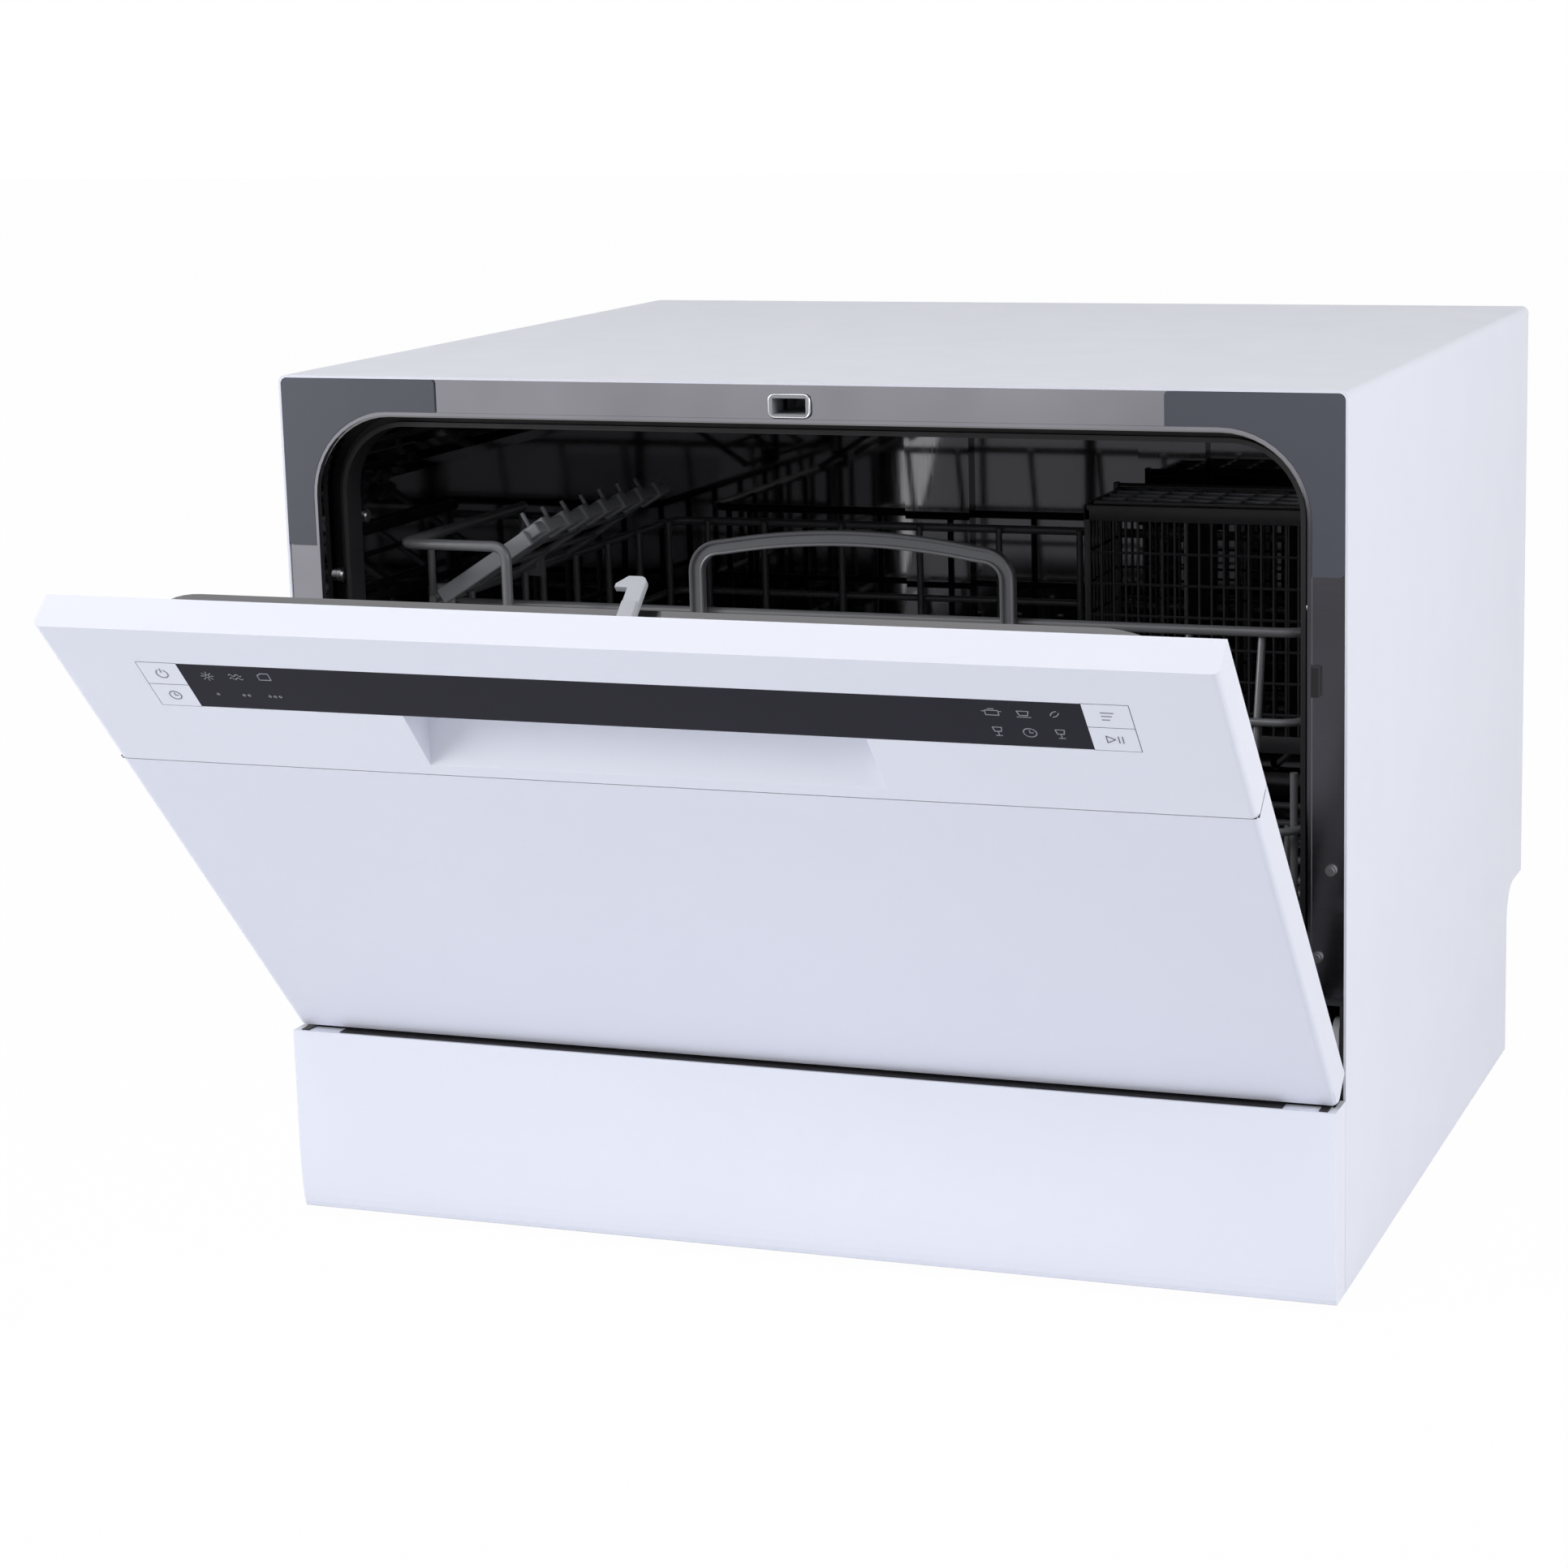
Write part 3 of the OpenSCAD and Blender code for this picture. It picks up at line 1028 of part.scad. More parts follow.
outer_casing();
rear_panel();
base_tray();
base_front_panel();
feet();
tub();
front_frame();
corner_covers();
door_gasket();
lower_door_seal();
latch_catch();
latch_bolt();
door_bumpers();
tub_blanket();
sump();
filter_plate();
filter_cup();
spray_hub();
spray_arm();
water_softener();
salt_cap();
wash_pump();
drain_pump();
inline_heater();
inlet_valve();
inlet_hose();
drain_connector();
drain_hose();
power_gland();
air_break();
hinge_brackets();
hinge_pins();
door_springs();
rack_rails();
case_screws();
door_outer_panel();
control_panel();
display_strip();
door_liner();
door_insulation();
control_board();
dispenser_body();
detergent_lid();
rinse_cap();
latch_hook();
hinge_arms();
door_screws();
power_button();
delay_button();
program_button();
start_button();
rack_frame();
rack_handle();
rack_fittings();
rack_wheels_front();
rack_wheels_rear();
cup_shelf();
cup_shelf_strip();
cutlery_basket();
cutlery_lid();
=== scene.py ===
"""Countertop dishwasher with its door half open: finishes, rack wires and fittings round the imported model."""

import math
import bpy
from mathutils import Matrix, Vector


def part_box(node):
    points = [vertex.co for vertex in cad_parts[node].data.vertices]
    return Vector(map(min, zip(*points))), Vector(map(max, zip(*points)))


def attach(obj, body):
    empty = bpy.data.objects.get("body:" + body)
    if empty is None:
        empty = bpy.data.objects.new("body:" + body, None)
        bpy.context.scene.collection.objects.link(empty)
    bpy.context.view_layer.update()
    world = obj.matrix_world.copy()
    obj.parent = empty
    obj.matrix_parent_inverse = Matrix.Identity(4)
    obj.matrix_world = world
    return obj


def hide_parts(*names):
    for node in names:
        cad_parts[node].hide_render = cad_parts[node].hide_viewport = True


bl_info = {
    "name": "Countertop Dishwasher",
    "version": (1, 0, 0),
    "blender": (4, 5, 0),
    "location": "3D View > Sidebar > Dishwasher",
    "description": "Dresses a countertop dishwasher with enamel, steel, wires and soft studio light",
    "category": "Object",
}

import bmesh
import bpy
from mathutils import Matrix, Vector

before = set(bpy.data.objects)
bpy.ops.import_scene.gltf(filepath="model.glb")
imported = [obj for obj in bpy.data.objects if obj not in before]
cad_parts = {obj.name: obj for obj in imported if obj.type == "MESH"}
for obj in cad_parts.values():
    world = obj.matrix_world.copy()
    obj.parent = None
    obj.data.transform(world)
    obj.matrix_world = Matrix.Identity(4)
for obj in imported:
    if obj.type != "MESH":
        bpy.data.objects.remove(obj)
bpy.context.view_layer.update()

# Places are written in millimetres from the casing's front edge and underside.
# Here they are turned into metres.
SETBACK = -1000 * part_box("outer_casing")[0].y
FOOT = 1000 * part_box("outer_casing")[0].z
HINGE = (-14.0, 108.6)
DOOR_TILT = math.radians(41.87)


def place(x, y, z):
    return Vector((x, y - SETBACK, z + FOOT)) / 1000


def door_place(x, y, z):
    """A place on the shut door, turned with the door to its half-open rest."""
    u, v = y - HINGE[0], z - HINGE[1]
    cos, sin = math.cos(DOOR_TILT), math.sin(DOOR_TILT)
    return place(x, HINGE[0] + u * cos - v * sin, HINGE[1] + u * sin + v * cos)


# ---- user settings

def colour(name, description, default):
    return bpy.props.FloatVectorProperty(
        name=name, description=description, default=default, size=3, min=0, max=1, subtype="COLOR"
    )


def length(name, description, millimetres):
    return bpy.props.FloatProperty(
        name=name, description=description, default=millimetres / 1000, min=0.0001, unit="LENGTH",
        subtype="DISTANCE",
    )


class DishwasherColours(bpy.types.PropertyGroup):
    enamel: colour("Enamel", "White enamel of the casing and the door", (0.79, 0.807, 0.90))
    moulding: colour("White moulding", "White plastic of the control panel and plinth", (0.81, 0.83, 0.915))
    steel: colour("Stainless steel", "Brushed steel of the front frame", (0.265, 0.26, 0.29))
    # Darker than real polished steel: the colour paints the shade of the dim light inside the tub, on the tub
    # and the door liner.
    shade_darkened_tub_steel: colour("Tub steel", "Polished steel of the tub and the door liner", (0.2, 0.197, 0.205))
    strip: colour("Display strip", "Dark glossy strip across the control panel", (0.013, 0.012, 0.022))
    corner: colour("Corner covers", "Grey plastic at the upper corners", (0.068, 0.072, 0.093))
    wire: colour("Wire coating", "Grey coating of the rack wires", (0.16, 0.162, 0.175))
    clip: colour("Clip plastic", "Light grey plastic of clips, wheels and rails", (0.30, 0.305, 0.33))
    rubber: colour("Rubber", "Black rubber of seals and feet", (0.012, 0.012, 0.014))
    basket: colour("Basket plastic", "Near-black plastic of the cutlery basket", (0.045, 0.045, 0.05))
    mark: colour("Control marks", "Grey of the marks beside the buttons", (0.27, 0.27, 0.31))
    floor: colour("Floor", "Pale studio floor", (0.86, 0.87, 0.90))


class DishwasherSizes(bpy.types.PropertyGroup):
    wire: length("Wire thickness", "Diameter of the rack's wires", 4.0)
    rim: length("Rim thickness", "Diameter of the rack's top rim", 5.0)
    raised_rim: length("Raised rim thickness", "Diameter of the raised rim on the left", 5.6)
    bend: length("Wire bend", "Bend radius of the rack's wires", 5.0)
    mark_line: length("Mark line", "Line width of the control marks", 0.55)
    lens: bpy.props.FloatProperty(
        name="Lens", description="Focal length of the studio camera", default=0.0826, min=0.02, unit="CAMERA"
    )


def colours():
    return bpy.context.scene.dishwasher_colours


def sizes():
    return bpy.context.scene.dishwasher_sizes


# ---- materials

class Finish:
    """A principled material with its nodes added one after the other."""

    def __init__(self, name, base, rough=0.4, metal=0.0, **sockets):
        self.made = bpy.data.materials.new(name)
        self.made.use_nodes = True
        self.tree = self.made.node_tree
        self.shader = self.tree.nodes["Principled BSDF"]
        self.base = (*base, 1)
        self.set("Base Color", self.base)
        self.set("Roughness", rough)
        self.set("Metallic", metal)
        for key, value in sockets.items():
            self.set(key.replace("_", " "), value)
        self.rough = rough
        self.coords = self.tree.nodes.new("ShaderNodeTexCoord").outputs["Object"]
        self.made.diffuse_color = self.base

    def set(self, socket, value):
        self.shader.inputs[socket].default_value = value

    def node(self, kind, links=(), **values):
        made = self.tree.nodes.new(kind)
        for key, value in values.items():
            if key in made.inputs:
                made.inputs[key].default_value = value
            else:
                setattr(made, key, value)
        for socket, source in links:
            self.tree.links.new(source, made.inputs[socket])
        return made

    def noise(self, scale, stretch=(1, 1, 1), detail=3.0):
        turned = self.node("ShaderNodeMapping", [("Vector", self.coords)], Scale=stretch)
        return self.node(
            "ShaderNodeTexNoise", [("Vector", turned.outputs[0])], Scale=scale, Detail=detail, Roughness=0.6
        ).outputs[0]

    def spread(self, source, low, high, from_low=0.3, from_high=0.7):
        made = self.node("ShaderNodeMapRange", [(0, source)])
        for k, value in enumerate((from_low, from_high, low, high), 1):
            made.inputs[k].default_value = value
        return made.outputs[0]

    def vary_colour(self, source, amount):
        """Moves the base colour between a slightly darker and a slightly lighter one."""
        ramp = self.node("ShaderNodeValToRGB", [("Fac", source)])
        for stop, at, gain in ((0, 0.3, 1 - amount), (1, 0.7, 1 + amount)):
            ramp.color_ramp.elements[stop].position = at
            ramp.color_ramp.elements[stop].color = (*[min(c * gain, 1) for c in self.base[:3]], 1)
        self.tree.links.new(ramp.outputs[0], self.shader.inputs["Base Color"])
        return self

    def vary_rough(self, source, amount):
        varied = self.spread(source, max(self.rough - amount, 0.02), self.rough + amount)
        self.tree.links.new(varied, self.shader.inputs["Roughness"])
        return self

    def bump(self, source, height, strength=0.5):
        made = self.node("ShaderNodeBump", [("Height", source)], Strength=strength, Distance=height)
        self.tree.links.new(made.outputs[0], self.shader.inputs["Normal"])
        return self


def enamel(name, base):
    made = Finish(name, base, 0.36, Specular_IOR_Level=0.2)
    made.vary_colour(made.noise(9), 0.006).vary_rough(made.noise(30), 0.04)
    return made.bump(made.noise(900, detail=1), 0.00003, 0.25).made


def moulded(name, base, rough=0.45, grain=1600.0, coat=0.0, mottle=0.03, gloss=0.4):
    made = Finish(name, base, rough, Coat_Weight=coat, Coat_Roughness=0.2, Specular_IOR_Level=gloss)
    made.vary_colour(made.noise(14), mottle).vary_rough(made.noise(60), 0.05)
    return made.bump(made.noise(grain, detail=1), 0.00004, 0.35).made


def glossy(name, base, rough):
    made = Finish(name, base, rough, Specular_IOR_Level=0.08)
    made.vary_colour(made.noise(14), 0.03).vary_rough(made.noise(60), 0.03)
    return made.bump(made.noise(700, detail=1), 0.00001, 0.1).made


def brushed(name, base, rough, stretch, strength=0.03, cloud=0.05):
    made = Finish(name, base, rough, 1.0)
    lines = made.noise(90, stretch, 2)
    made.vary_colour(made.noise(7), cloud).vary_rough(lines, 0.02)
    return made.bump(lines, 0.00001, strength).made


def make_finishes():
    c = colours()
    across, along, upright = (0.6, 30, 30), (30, 0.6, 30), (30, 30, 0.6)
    return {
        "enamel": enamel("white_enamel", c.enamel),
        "moulding": moulded("white_moulding", c.moulding, 0.38, 1300, 0.0, 0.006, 0.2),
        "steel": brushed("brushed_steel", c.steel, 0.17, across, 0.02, 0.14),
        # Tub and liner steel: a darkened colour that paints the shade of the dim light inside the tub.
        "shade_darkened_tub_steel": brushed("shade_darkened_tub_steel", c.shade_darkened_tub_steel, 0.045, upright, 0.01),
        "liner_steel": brushed("liner_steel", c.shade_darkened_tub_steel, 0.10, across, 0.02),
        "rear_steel": brushed("galvanised_steel", (0.42, 0.43, 0.45), 0.45, (1, 1, 1)),
        "screw_steel": brushed("screw_steel", (0.6, 0.6, 0.62), 0.25, along),
        "strip": glossy("display_strip", c.strip, 0.16),
        "corner": moulded("corner_plastic", c.corner, 0.5, 1500),
        "wire": moulded("wire_coating", c.wire, 0.33, 1200, 0.2),
        "clip": moulded("clip_plastic", c.clip, 0.42, 1500),
        # Pale plastic of the dispenser, caps and latch hook; on the cutlery lid grid the same pale colour is a
        # painted highlight.
        "pale": moulded("pale_plastic_and_grid_highlight", (0.45, 0.46, 0.50), 0.4, 1500),
        "base": moulded("base_plastic", (0.035, 0.036, 0.04), 0.55, 900),
        # Black rubber of seals and feet; the strip on the plinth's top takes it as painted shade in the slit
        # under the door.
        "rubber": moulded("seal_rubber_and_gap_shade", c.rubber, 0.55, 1100),
        "basket": moulded("basket_plastic", c.basket, 0.45, 1500),
        "dark": moulded("dark_plastic", (0.03, 0.03, 0.035), 0.5, 1200),
        "blanket": moulded("sound_blanket", (0.02, 0.02, 0.022), 0.9, 500),
        "board": moulded("circuit_board", (0.02, 0.10, 0.045), 0.4, 800),
        "mark": moulded("mark_print", c.mark, 0.5, 2500),
        # Dark lines round the buttons and in the door's seam: painted shade.
        "gap": moulded("gap_shadow", (0.05, 0.05, 0.065), 0.7, 1500),
        "dark_mark": moulded("button_print", (0.12, 0.12, 0.15), 0.5, 2500),
        # Flat dark crosses on the screw heads: painted shade of their cross slots.
        "recess_shade": moulded("bore_shadow", (0.01, 0.01, 0.012), 0.8, 900),
    }


FINISHES = {}
CAD_FINISH = {
    "enamel": "outer_casing door_outer_panel",
    "moulding": "base_front_panel control_panel inlet_valve air_break power_button delay_button"
    " program_button start_button",
    "steel": "front_frame filter_plate inline_heater",
    "shade_darkened_tub_steel": "tub",
    "liner_steel": "door_liner",
    "rear_steel": "rear_panel",
    "screw_steel": "case_screws door_screws hinge_pins hinge_arms door_springs",
    "strip": "display_strip",
    "corner": "corner_covers",
    "wire": "rack_frame rack_handle cup_shelf",
    "clip": "latch_catch spray_arm hinge_brackets rack_rails rack_fittings rack_wheels_front rack_wheels_rear"
    " cup_shelf_strip",
    "pale": "dispenser_body detergent_lid rinse_cap latch_hook",
    "base": "base_tray sump water_softener inlet_hose drain_hose",
    "rubber": "feet door_gasket lower_door_seal latch_bolt door_bumpers power_gland",
    "basket": "cutlery_basket cutlery_lid",
    "dark": "filter_cup spray_hub salt_cap wash_pump drain_pump drain_connector",
    "blanket": "tub_blanket door_insulation",
    "board": "control_board",
}


# ---- mesh helpers

def finished(name, bm, body, finish, replaced=(), smooth=True):
    """Turns a bmesh, already in its place, into a piece that rides on a body."""
    bmesh.ops.remove_doubles(bm, verts=bm.verts, dist=1e-6)
    bmesh.ops.recalc_face_normals(bm, faces=bm.faces)
    mesh = bpy.data.meshes.new(name)
    bm.to_mesh(mesh)
    bm.free()
    made = bpy.data.objects.new(name, mesh)
    bpy.context.scene.collection.objects.link(made)
    mesh.materials.append(FINISHES[finish])
    if smooth:
        mesh.shade_smooth()
        made.select_set(False)
        mesh.set_sharp_from_angle(angle=math.radians(38))
    if replaced:
        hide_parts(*replaced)
    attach(made, body)
    return made


def wire_tree():
    """Geometry Nodes: lines become round wires with rounded bends."""
    tree = bpy.data.node_groups.new("Bent wire", "GeometryNodeTree")
    face = tree.interface
    face.new_socket("Geometry", in_out="INPUT", socket_type="NodeSocketGeometry")
    for name, default in (("Thickness", 0.004), ("Bend", 0.005)):
        socket = face.new_socket(name, in_out="INPUT", socket_type="NodeSocketFloat")
        socket.default_value = default
        socket.subtype = "DISTANCE"
    sides = face.new_socket("Sides", in_out="INPUT", socket_type="NodeSocketInt")
    sides.default_value = 14
    face.new_socket("Coating", in_out="INPUT", socket_type="NodeSocketMaterial")
    face.new_socket("Geometry", in_out="OUTPUT", socket_type="NodeSocketGeometry")

    def add(kind, *links, **values):
        made = tree.nodes.new(kind)
        for key, value in values.items():
            setattr(made, key, value)
        for source, socket in links:
            tree.links.new(source, made.inputs[socket])
        return made

    given = add("NodeGroupInput").outputs
    half = add("ShaderNodeMath", (given["Thickness"], 0), operation="MULTIPLY")
    half.inputs[1].default_value = 0.5
    line = add("GeometryNodeMeshToCurve", (given["Geometry"], "Mesh"))
    bent = add(
        "GeometryNodeFilletCurve", (line.outputs[0], "Curve"), (given["Bend"], "Radius"), mode="POLY"
    )
    bent.inputs["Count"].default_value = 5
    bent.inputs["Limit Radius"].default_value = True
    ring = add(
        "GeometryNodeCurvePrimitiveCircle", (given["Sides"], "Resolution"), (half.outputs[0], "Radius")
    )
    tube = add("GeometryNodeCurveToMesh", (bent.outputs[0], "Curve"), (ring.outputs[0], "Profile Curve"))
    tube.inputs["Fill Caps"].default_value = True
    smooth = add("GeometryNodeSetShadeSmooth", (tube.outputs[0], "Geometry"))
    real = add("GeometryNodeRealizeInstances", (smooth.outputs[0], "Geometry"))
    coat = add("GeometryNodeSetMaterial", (real.outputs[0], "Geometry"), (given["Coating"], "Material"))
    add("NodeGroupOutput", (coat.outputs[0], "Geometry"))
    return tree


TREES = {}


def tree_named(name, build):
    if name not in TREES:
        TREES[name] = build()
    return TREES[name]


def through_nodes(name, vertices, edges, tree, values, body, replaced=(), smooth_angle=38):
    """Runs a Geometry Nodes tree on lines or points and keeps the result as a plain mesh."""
    seed = bpy.data.meshes.new(name + "_lines")
    seed.from_pydata(vertices, edges, [])
    made = bpy.data.objects.new(name, seed)
    bpy.context.scene.collection.objects.link(made)
    modifier = made.modifiers.new("Form", "NODES")
    modifier.node_group = tree
    keys = {i.name: i.identifier for i in tree.interface.items_tree if i.in_out == "INPUT"}
    for key, value in values.items():
        modifier[keys[key]] = value
    made.update_tag()
    bpy.context.view_layer.update()
    shaped = bpy.data.meshes.new_from_object(made.evaluated_get(bpy.context.evaluated_depsgraph_get()))
    made.modifiers.remove(modifier)
    made.data = shaped
    shaped.name = name
    bpy.data.meshes.remove(seed)
    shaped.set_sharp_from_angle(angle=math.radians(smooth_angle))
    if replaced:
        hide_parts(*replaced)
    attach(made, body)
    return made


def wires(name, runs, thickness, bend, finish, body, replaced=(), sides=14):
    """runs is a list of (points, closed)."""
    vertices, edges = [], []
    for points, closed in runs:
        first = len(vertices)
        vertices += [tuple(p) for p in points]
        edges += [(first + k, first + k + 1) for k in range(len(points) - 1)]
        if closed:
            edges.append((len(vertices) - 1, first))
    values = {"Thickness": thickness, "Bend": bend, "Sides": sides, "Coating": FINISHES[finish]}
    return through_nodes(name, vertices, edges, tree_named("wire", wire_tree), values, body, replaced)


def soft_box(bm, low, high, edge=0.0008, steps=2, put=place):
    """A box with rounded edges between two corners given in millimetres."""
    made = bmesh.ops.create_cube(bm, size=1)
    centre = [(a + b) / 2 for a, b in zip(low, high)]
    size = [abs(b - a) for a, b in zip(low, high)]
    verts = made["verts"]
    for v in verts:
        v.co = Vector([c + s * x for c, s, x in zip(centre, size, v.co)])
    if edge:
        edges = {e for v in verts for e in v.link_edges}
        limit = 0.45 * min(size)
        made = bmesh.ops.bevel(
            bm, geom=list(edges), offset=min(edge * 1000, limit), segments=steps, profile=0.5, affect="EDGES"
        )
        verts = list({v for f in made["faces"] for v in f.verts} | {v for v in verts if v.is_valid})
    for v in verts:
        v.co = put(*v.co)
    return verts


def prism(bm, outline, low, high, put, edge=0.5, steps=2):
    """An outline in two directions, extruded along the third: put(a, b, depth) gives the place."""
    bottom = [bm.verts.new((a, b, low)) for a, b in outline]
    face = bm.faces.new(bottom)
    made = bmesh.ops.extrude_face_region(bm, geom=[face])
    top = [g for g in made["geom"] if isinstance(g, bmesh.types.BMVert)]
    for v in top:
        v.co.z = high
    verts = bottom + top
    if edge:
        rims = {e for v in verts for e in v.link_edges}
        rims = [e for e in rims if abs(e.verts[0].co.z - e.verts[1].co.z) < 1e-6]
        made = bmesh.ops.bevel(bm, geom=rims, offset=edge, segments=steps, profile=0.5, affect="EDGES")
        verts = list({v for f in made["faces"] for v in f.verts} | {v for v in verts if v.is_valid})
    for v in verts:
        v.co = put(*v.co)


def arc(centre, radius, start, end, steps=8):
    return [
        (
            centre[0] + radius * math.cos(math.radians(start + (end - start) * k / steps)),
            centre[1] + radius * math.sin(math.radians(start + (end - start) * k / steps)),
        )
        for k in range(steps + 1)
    ]


# ---- rack

RACK_X, FLOOR_Z, REAR_Y, RIM_Z, WIRE = 232.0, 150.0, 404.0, 305.0, 4.0
LONG_Z = FLOOR_Z + WIRE + 0.1
LEVELS = (210.0, 262.0)
RAISED = (-234.0, 46.9, 342.0)
SHELF_HINGE = (-227.8, 309.8)
SHELF_TILT = math.radians(32.6)
SHELF_Y = (66.0, 236.0)


def front_line(z):
    return 52 + WIRE / 2 + (z - LONG_Z) * (90.7 - 52) / (RIM_Z + 1 - LONG_Z)


def front_of(z):
    return front_line(z) - 1.04 * WIRE - 0.1


def line(points, closed=False):
    return [place(*p) for p in points], closed


def hoop(y, left, right):
    return line([(-RACK_X, y, left), (-RACK_X, y, FLOOR_Z), (RACK_X, y, FLOOR_Z), (RACK_X, y, right)])


def shelf_place(reach, y, lift=0.0):
    cos, sin = math.cos(SHELF_TILT), math.sin(SHELF_TILT)
    return place(SHELF_HINGE[0] + reach * cos - lift * sin, y, SHELF_HINGE[1] + reach * sin + lift * cos)


class DISHWASHER_OT_rack(bpy.types.Operator):
    """Makes the coated wires of the rack"""

    bl_idname = "dishwasher.rack"
    bl_label = "Rack wires"

    def execute(self, context):
        s = sizes()
        top = RIM_Z + 1
        hoops = [hoop(y, top, top) for y in range(120, 391, 45)]
        hoops += [hoop(75, RAISED[2] - 2.9, 238), hoop(187, RAISED[2] - 2.9, top)]
        for x in [-212, 212, *range(-175, 176, 50)]:
            front = [(x, front_line(z), z) for z in (top, LONG_Z)]
            hoops.append(line([*front, (x, REAR_Y, LONG_Z), (x, REAR_Y, top)]))
        hoops.append(line([(-215, front_of(237), 237), (215, front_of(237), 237)]))
        across = [(y, 30 if y > 250 else 222) for y in (150, 222, 294)]
        row_z = LONG_Z + WIRE + 0.1
        hoops += [line([(-222, y, row_z), (end, y, row_z)]) for y, end in across]
        wires("rack_basket_wires", hoops, s.wire, s.bend, "wire", "rack", ["rack_frame"])
        side = 236.1
        ring = [
            line([(-side, front_of(z), z), (side, front_of(z), z), (side, 408.1, z), (-side, 408.1, z)], True)
            for z in LEVELS
        ]
        wires("rack_side_rings", ring, s.wire, 0.014, "wire", "rack")
        side = 236.6
        corners = [(-side, 88), (side, 88), (side, 408.6), (-side, 408.6)]
        rim = [line([(x, y, RIM_Z) for x, y in corners], True)]
        wires("rack_top_rim", rim, s.rim, 0.014, "wire", "rack")
        x, y, z = RAISED
        low = LEVELS[0] + 4.9
        inner = -175
        bow = [(x, 193, z), (x, y, z), (inner, y, z), (inner, y, low), (inner, front_of(LEVELS[0]) + 2, low)]
        raised = [line(bow)]
        wires("rack_raised_rim", raised, s.raised_rim, 0.007, "wire", "rack", sides=18)
        tines = []
        lean = math.radians(8)
        for row, (y, _) in enumerate(across):
            spots = [(-205 + 27.5 * k, 66) for k in range(9)]
            if row < 2:
                spots += [(70 + 35 * k, 33) for k in range(5)]
            for x, tall in spots:
                foot = row_z + 2.1
                tip = (x, y + tall * math.sin(lean), foot + tall * math.cos(lean))
                tines.append(line([(x, y, foot), tip]))
        wires("rack_plate_tines", tines, 0.0034, 0.001, "wire", "rack", sides=10)
        return {"FINISHED"}


def frames_along(path):
    """Place and inward side of each point of a path in the upright plane."""
    for k, p in enumerate(path):
        a, b = path[max(k - 1, 0)], path[min(k + 1, len(path) - 1)]
        size = math.hypot(b[0] - a[0], b[1] - a[1])
        yield p, (-(b[1] - a[1]) / size, (b[0] - a[0]) / size)


class DISHWASHER_OT_handle(bpy.types.Operator):
    """Makes the channelled bow that pulls the rack"""

    bl_idname = "dishwasher.handle"
    bl_label = "Rack handle"

    def execute(self, context):
        half, corner, crown, drop = 84.0, 13.0, 346.2, 7.0
        inner = half - corner

        def top(x):
            return crown - drop * (x / (half - 11)) ** 2

        z = top(inner) - corner * math.sin(math.radians(82))
        path = [(-half, 250)] + arc((-inner, z), corner, 180, 98)
        path += [(k * (inner - 4) / 10, top(k * (inner - 4) / 10)) for k in range(-10, 11)]
        path += arc((inner, z), corner, 82, 0) + [(half, 250)]
        # The bow's section, across its width and towards the front, with a channel in its face.
        section = [
            (-3.8, 5.2), (-3.3, 5.7), (-2.6, 5.7), (-2.2, 5.4), (-1.9, 4.2), (1.9, 4.2), (2.2, 5.4),
            (2.6, 5.7), (3.3, 5.7), (3.8, 5.2), (3.8, 0.5), (3.3, 0.0), (-3.3, 0.0), (-3.8, 0.5),
        ]
        back = 85.3
        bm = bmesh.new()
        rings = []
        for (x, h), (sx, sz) in frames_along(path):
            rings.append([bm.verts.new(place(x + w * sx, back - d, h + w * sz)) for w, d in section])
        for a, b in zip(rings, rings[1:]):
            for k in range(len(section)):
                n = (k + 1) % len(section)
                bm.faces.new((a[k], a[n], b[n], b[k]))
        bm.faces.new(rings[0])
        bm.faces.new(list(reversed(rings[-1])))
        for side in (-1, 1):
            soft_box(bm, (side * half - 5.6, 77.6, 256), (side * half + 5.6, 85.2, 268), 0.0012)
        finished("rack_pull_bow", bm, "rack", "wire", ["rack_handle"])
        return {"FINISHED"}


class DISHWASHER_OT_cup_shelf(bpy.types.Operator):
    """Makes the folding cup shelf with its toothed edge strip"""

    bl_idname = "dishwasher.cup_shelf"
    bl_label = "Cup shelf"

    def execute(self, context):
        s = sizes()
        start, end = SHELF_Y
        arms = [start + 3, start + 54, start + 105, end - 3]
        runs = [([shelf_place(0, start), shelf_place(0, end)], False)]
        runs += [([shelf_place(1, y), shelf_place(66, y)], False) for y in arms]
        wires("cup_shelf_wires", runs, s.wire, s.bend, "wire", "cup_shelf", ["cup_shelf"])
        runs = [([shelf_place(reach, start + 3), shelf_place(reach, end - 3)], False) for reach in (22, 44)]
        wires("cup_shelf_cross_wires", runs, 0.0032, s.bend, "wire", "cup_shelf")

        def put(reach, y, lift):
            return shelf_place(reach, y, lift)

        bm = bmesh.new()
        soft_box(bm, (62.2, start, -3.3), (73.8, end, 3.3), 0.0012, 3, put)
        for k in range(7):
            y = start + 11 + k * (end - start - 24) / 6
            soft_box(bm, (60.7, y - 3.5, -4.5), (75.4, y + 3.5, 4.5), 0.0010, 3, put)
            peg = bmesh.ops.create_cone(
                bm, cap_ends=True, segments=16, radius1=1.4, radius2=1.1, depth=8.5,
                matrix=Matrix.Translation((65, y, 8.0)),
            )
            for v in peg["verts"]:
                v.co = put(*v.co)
        soft_box(bm, (6, start - 2.8, -6), (67, start + 0.6, 2.5), 0.0008, 3, put)
        finished("cup_shelf_toothed_strip", bm, "cup_shelf", "clip", ["cup_shelf_strip"])
        return {"FINISHED"}


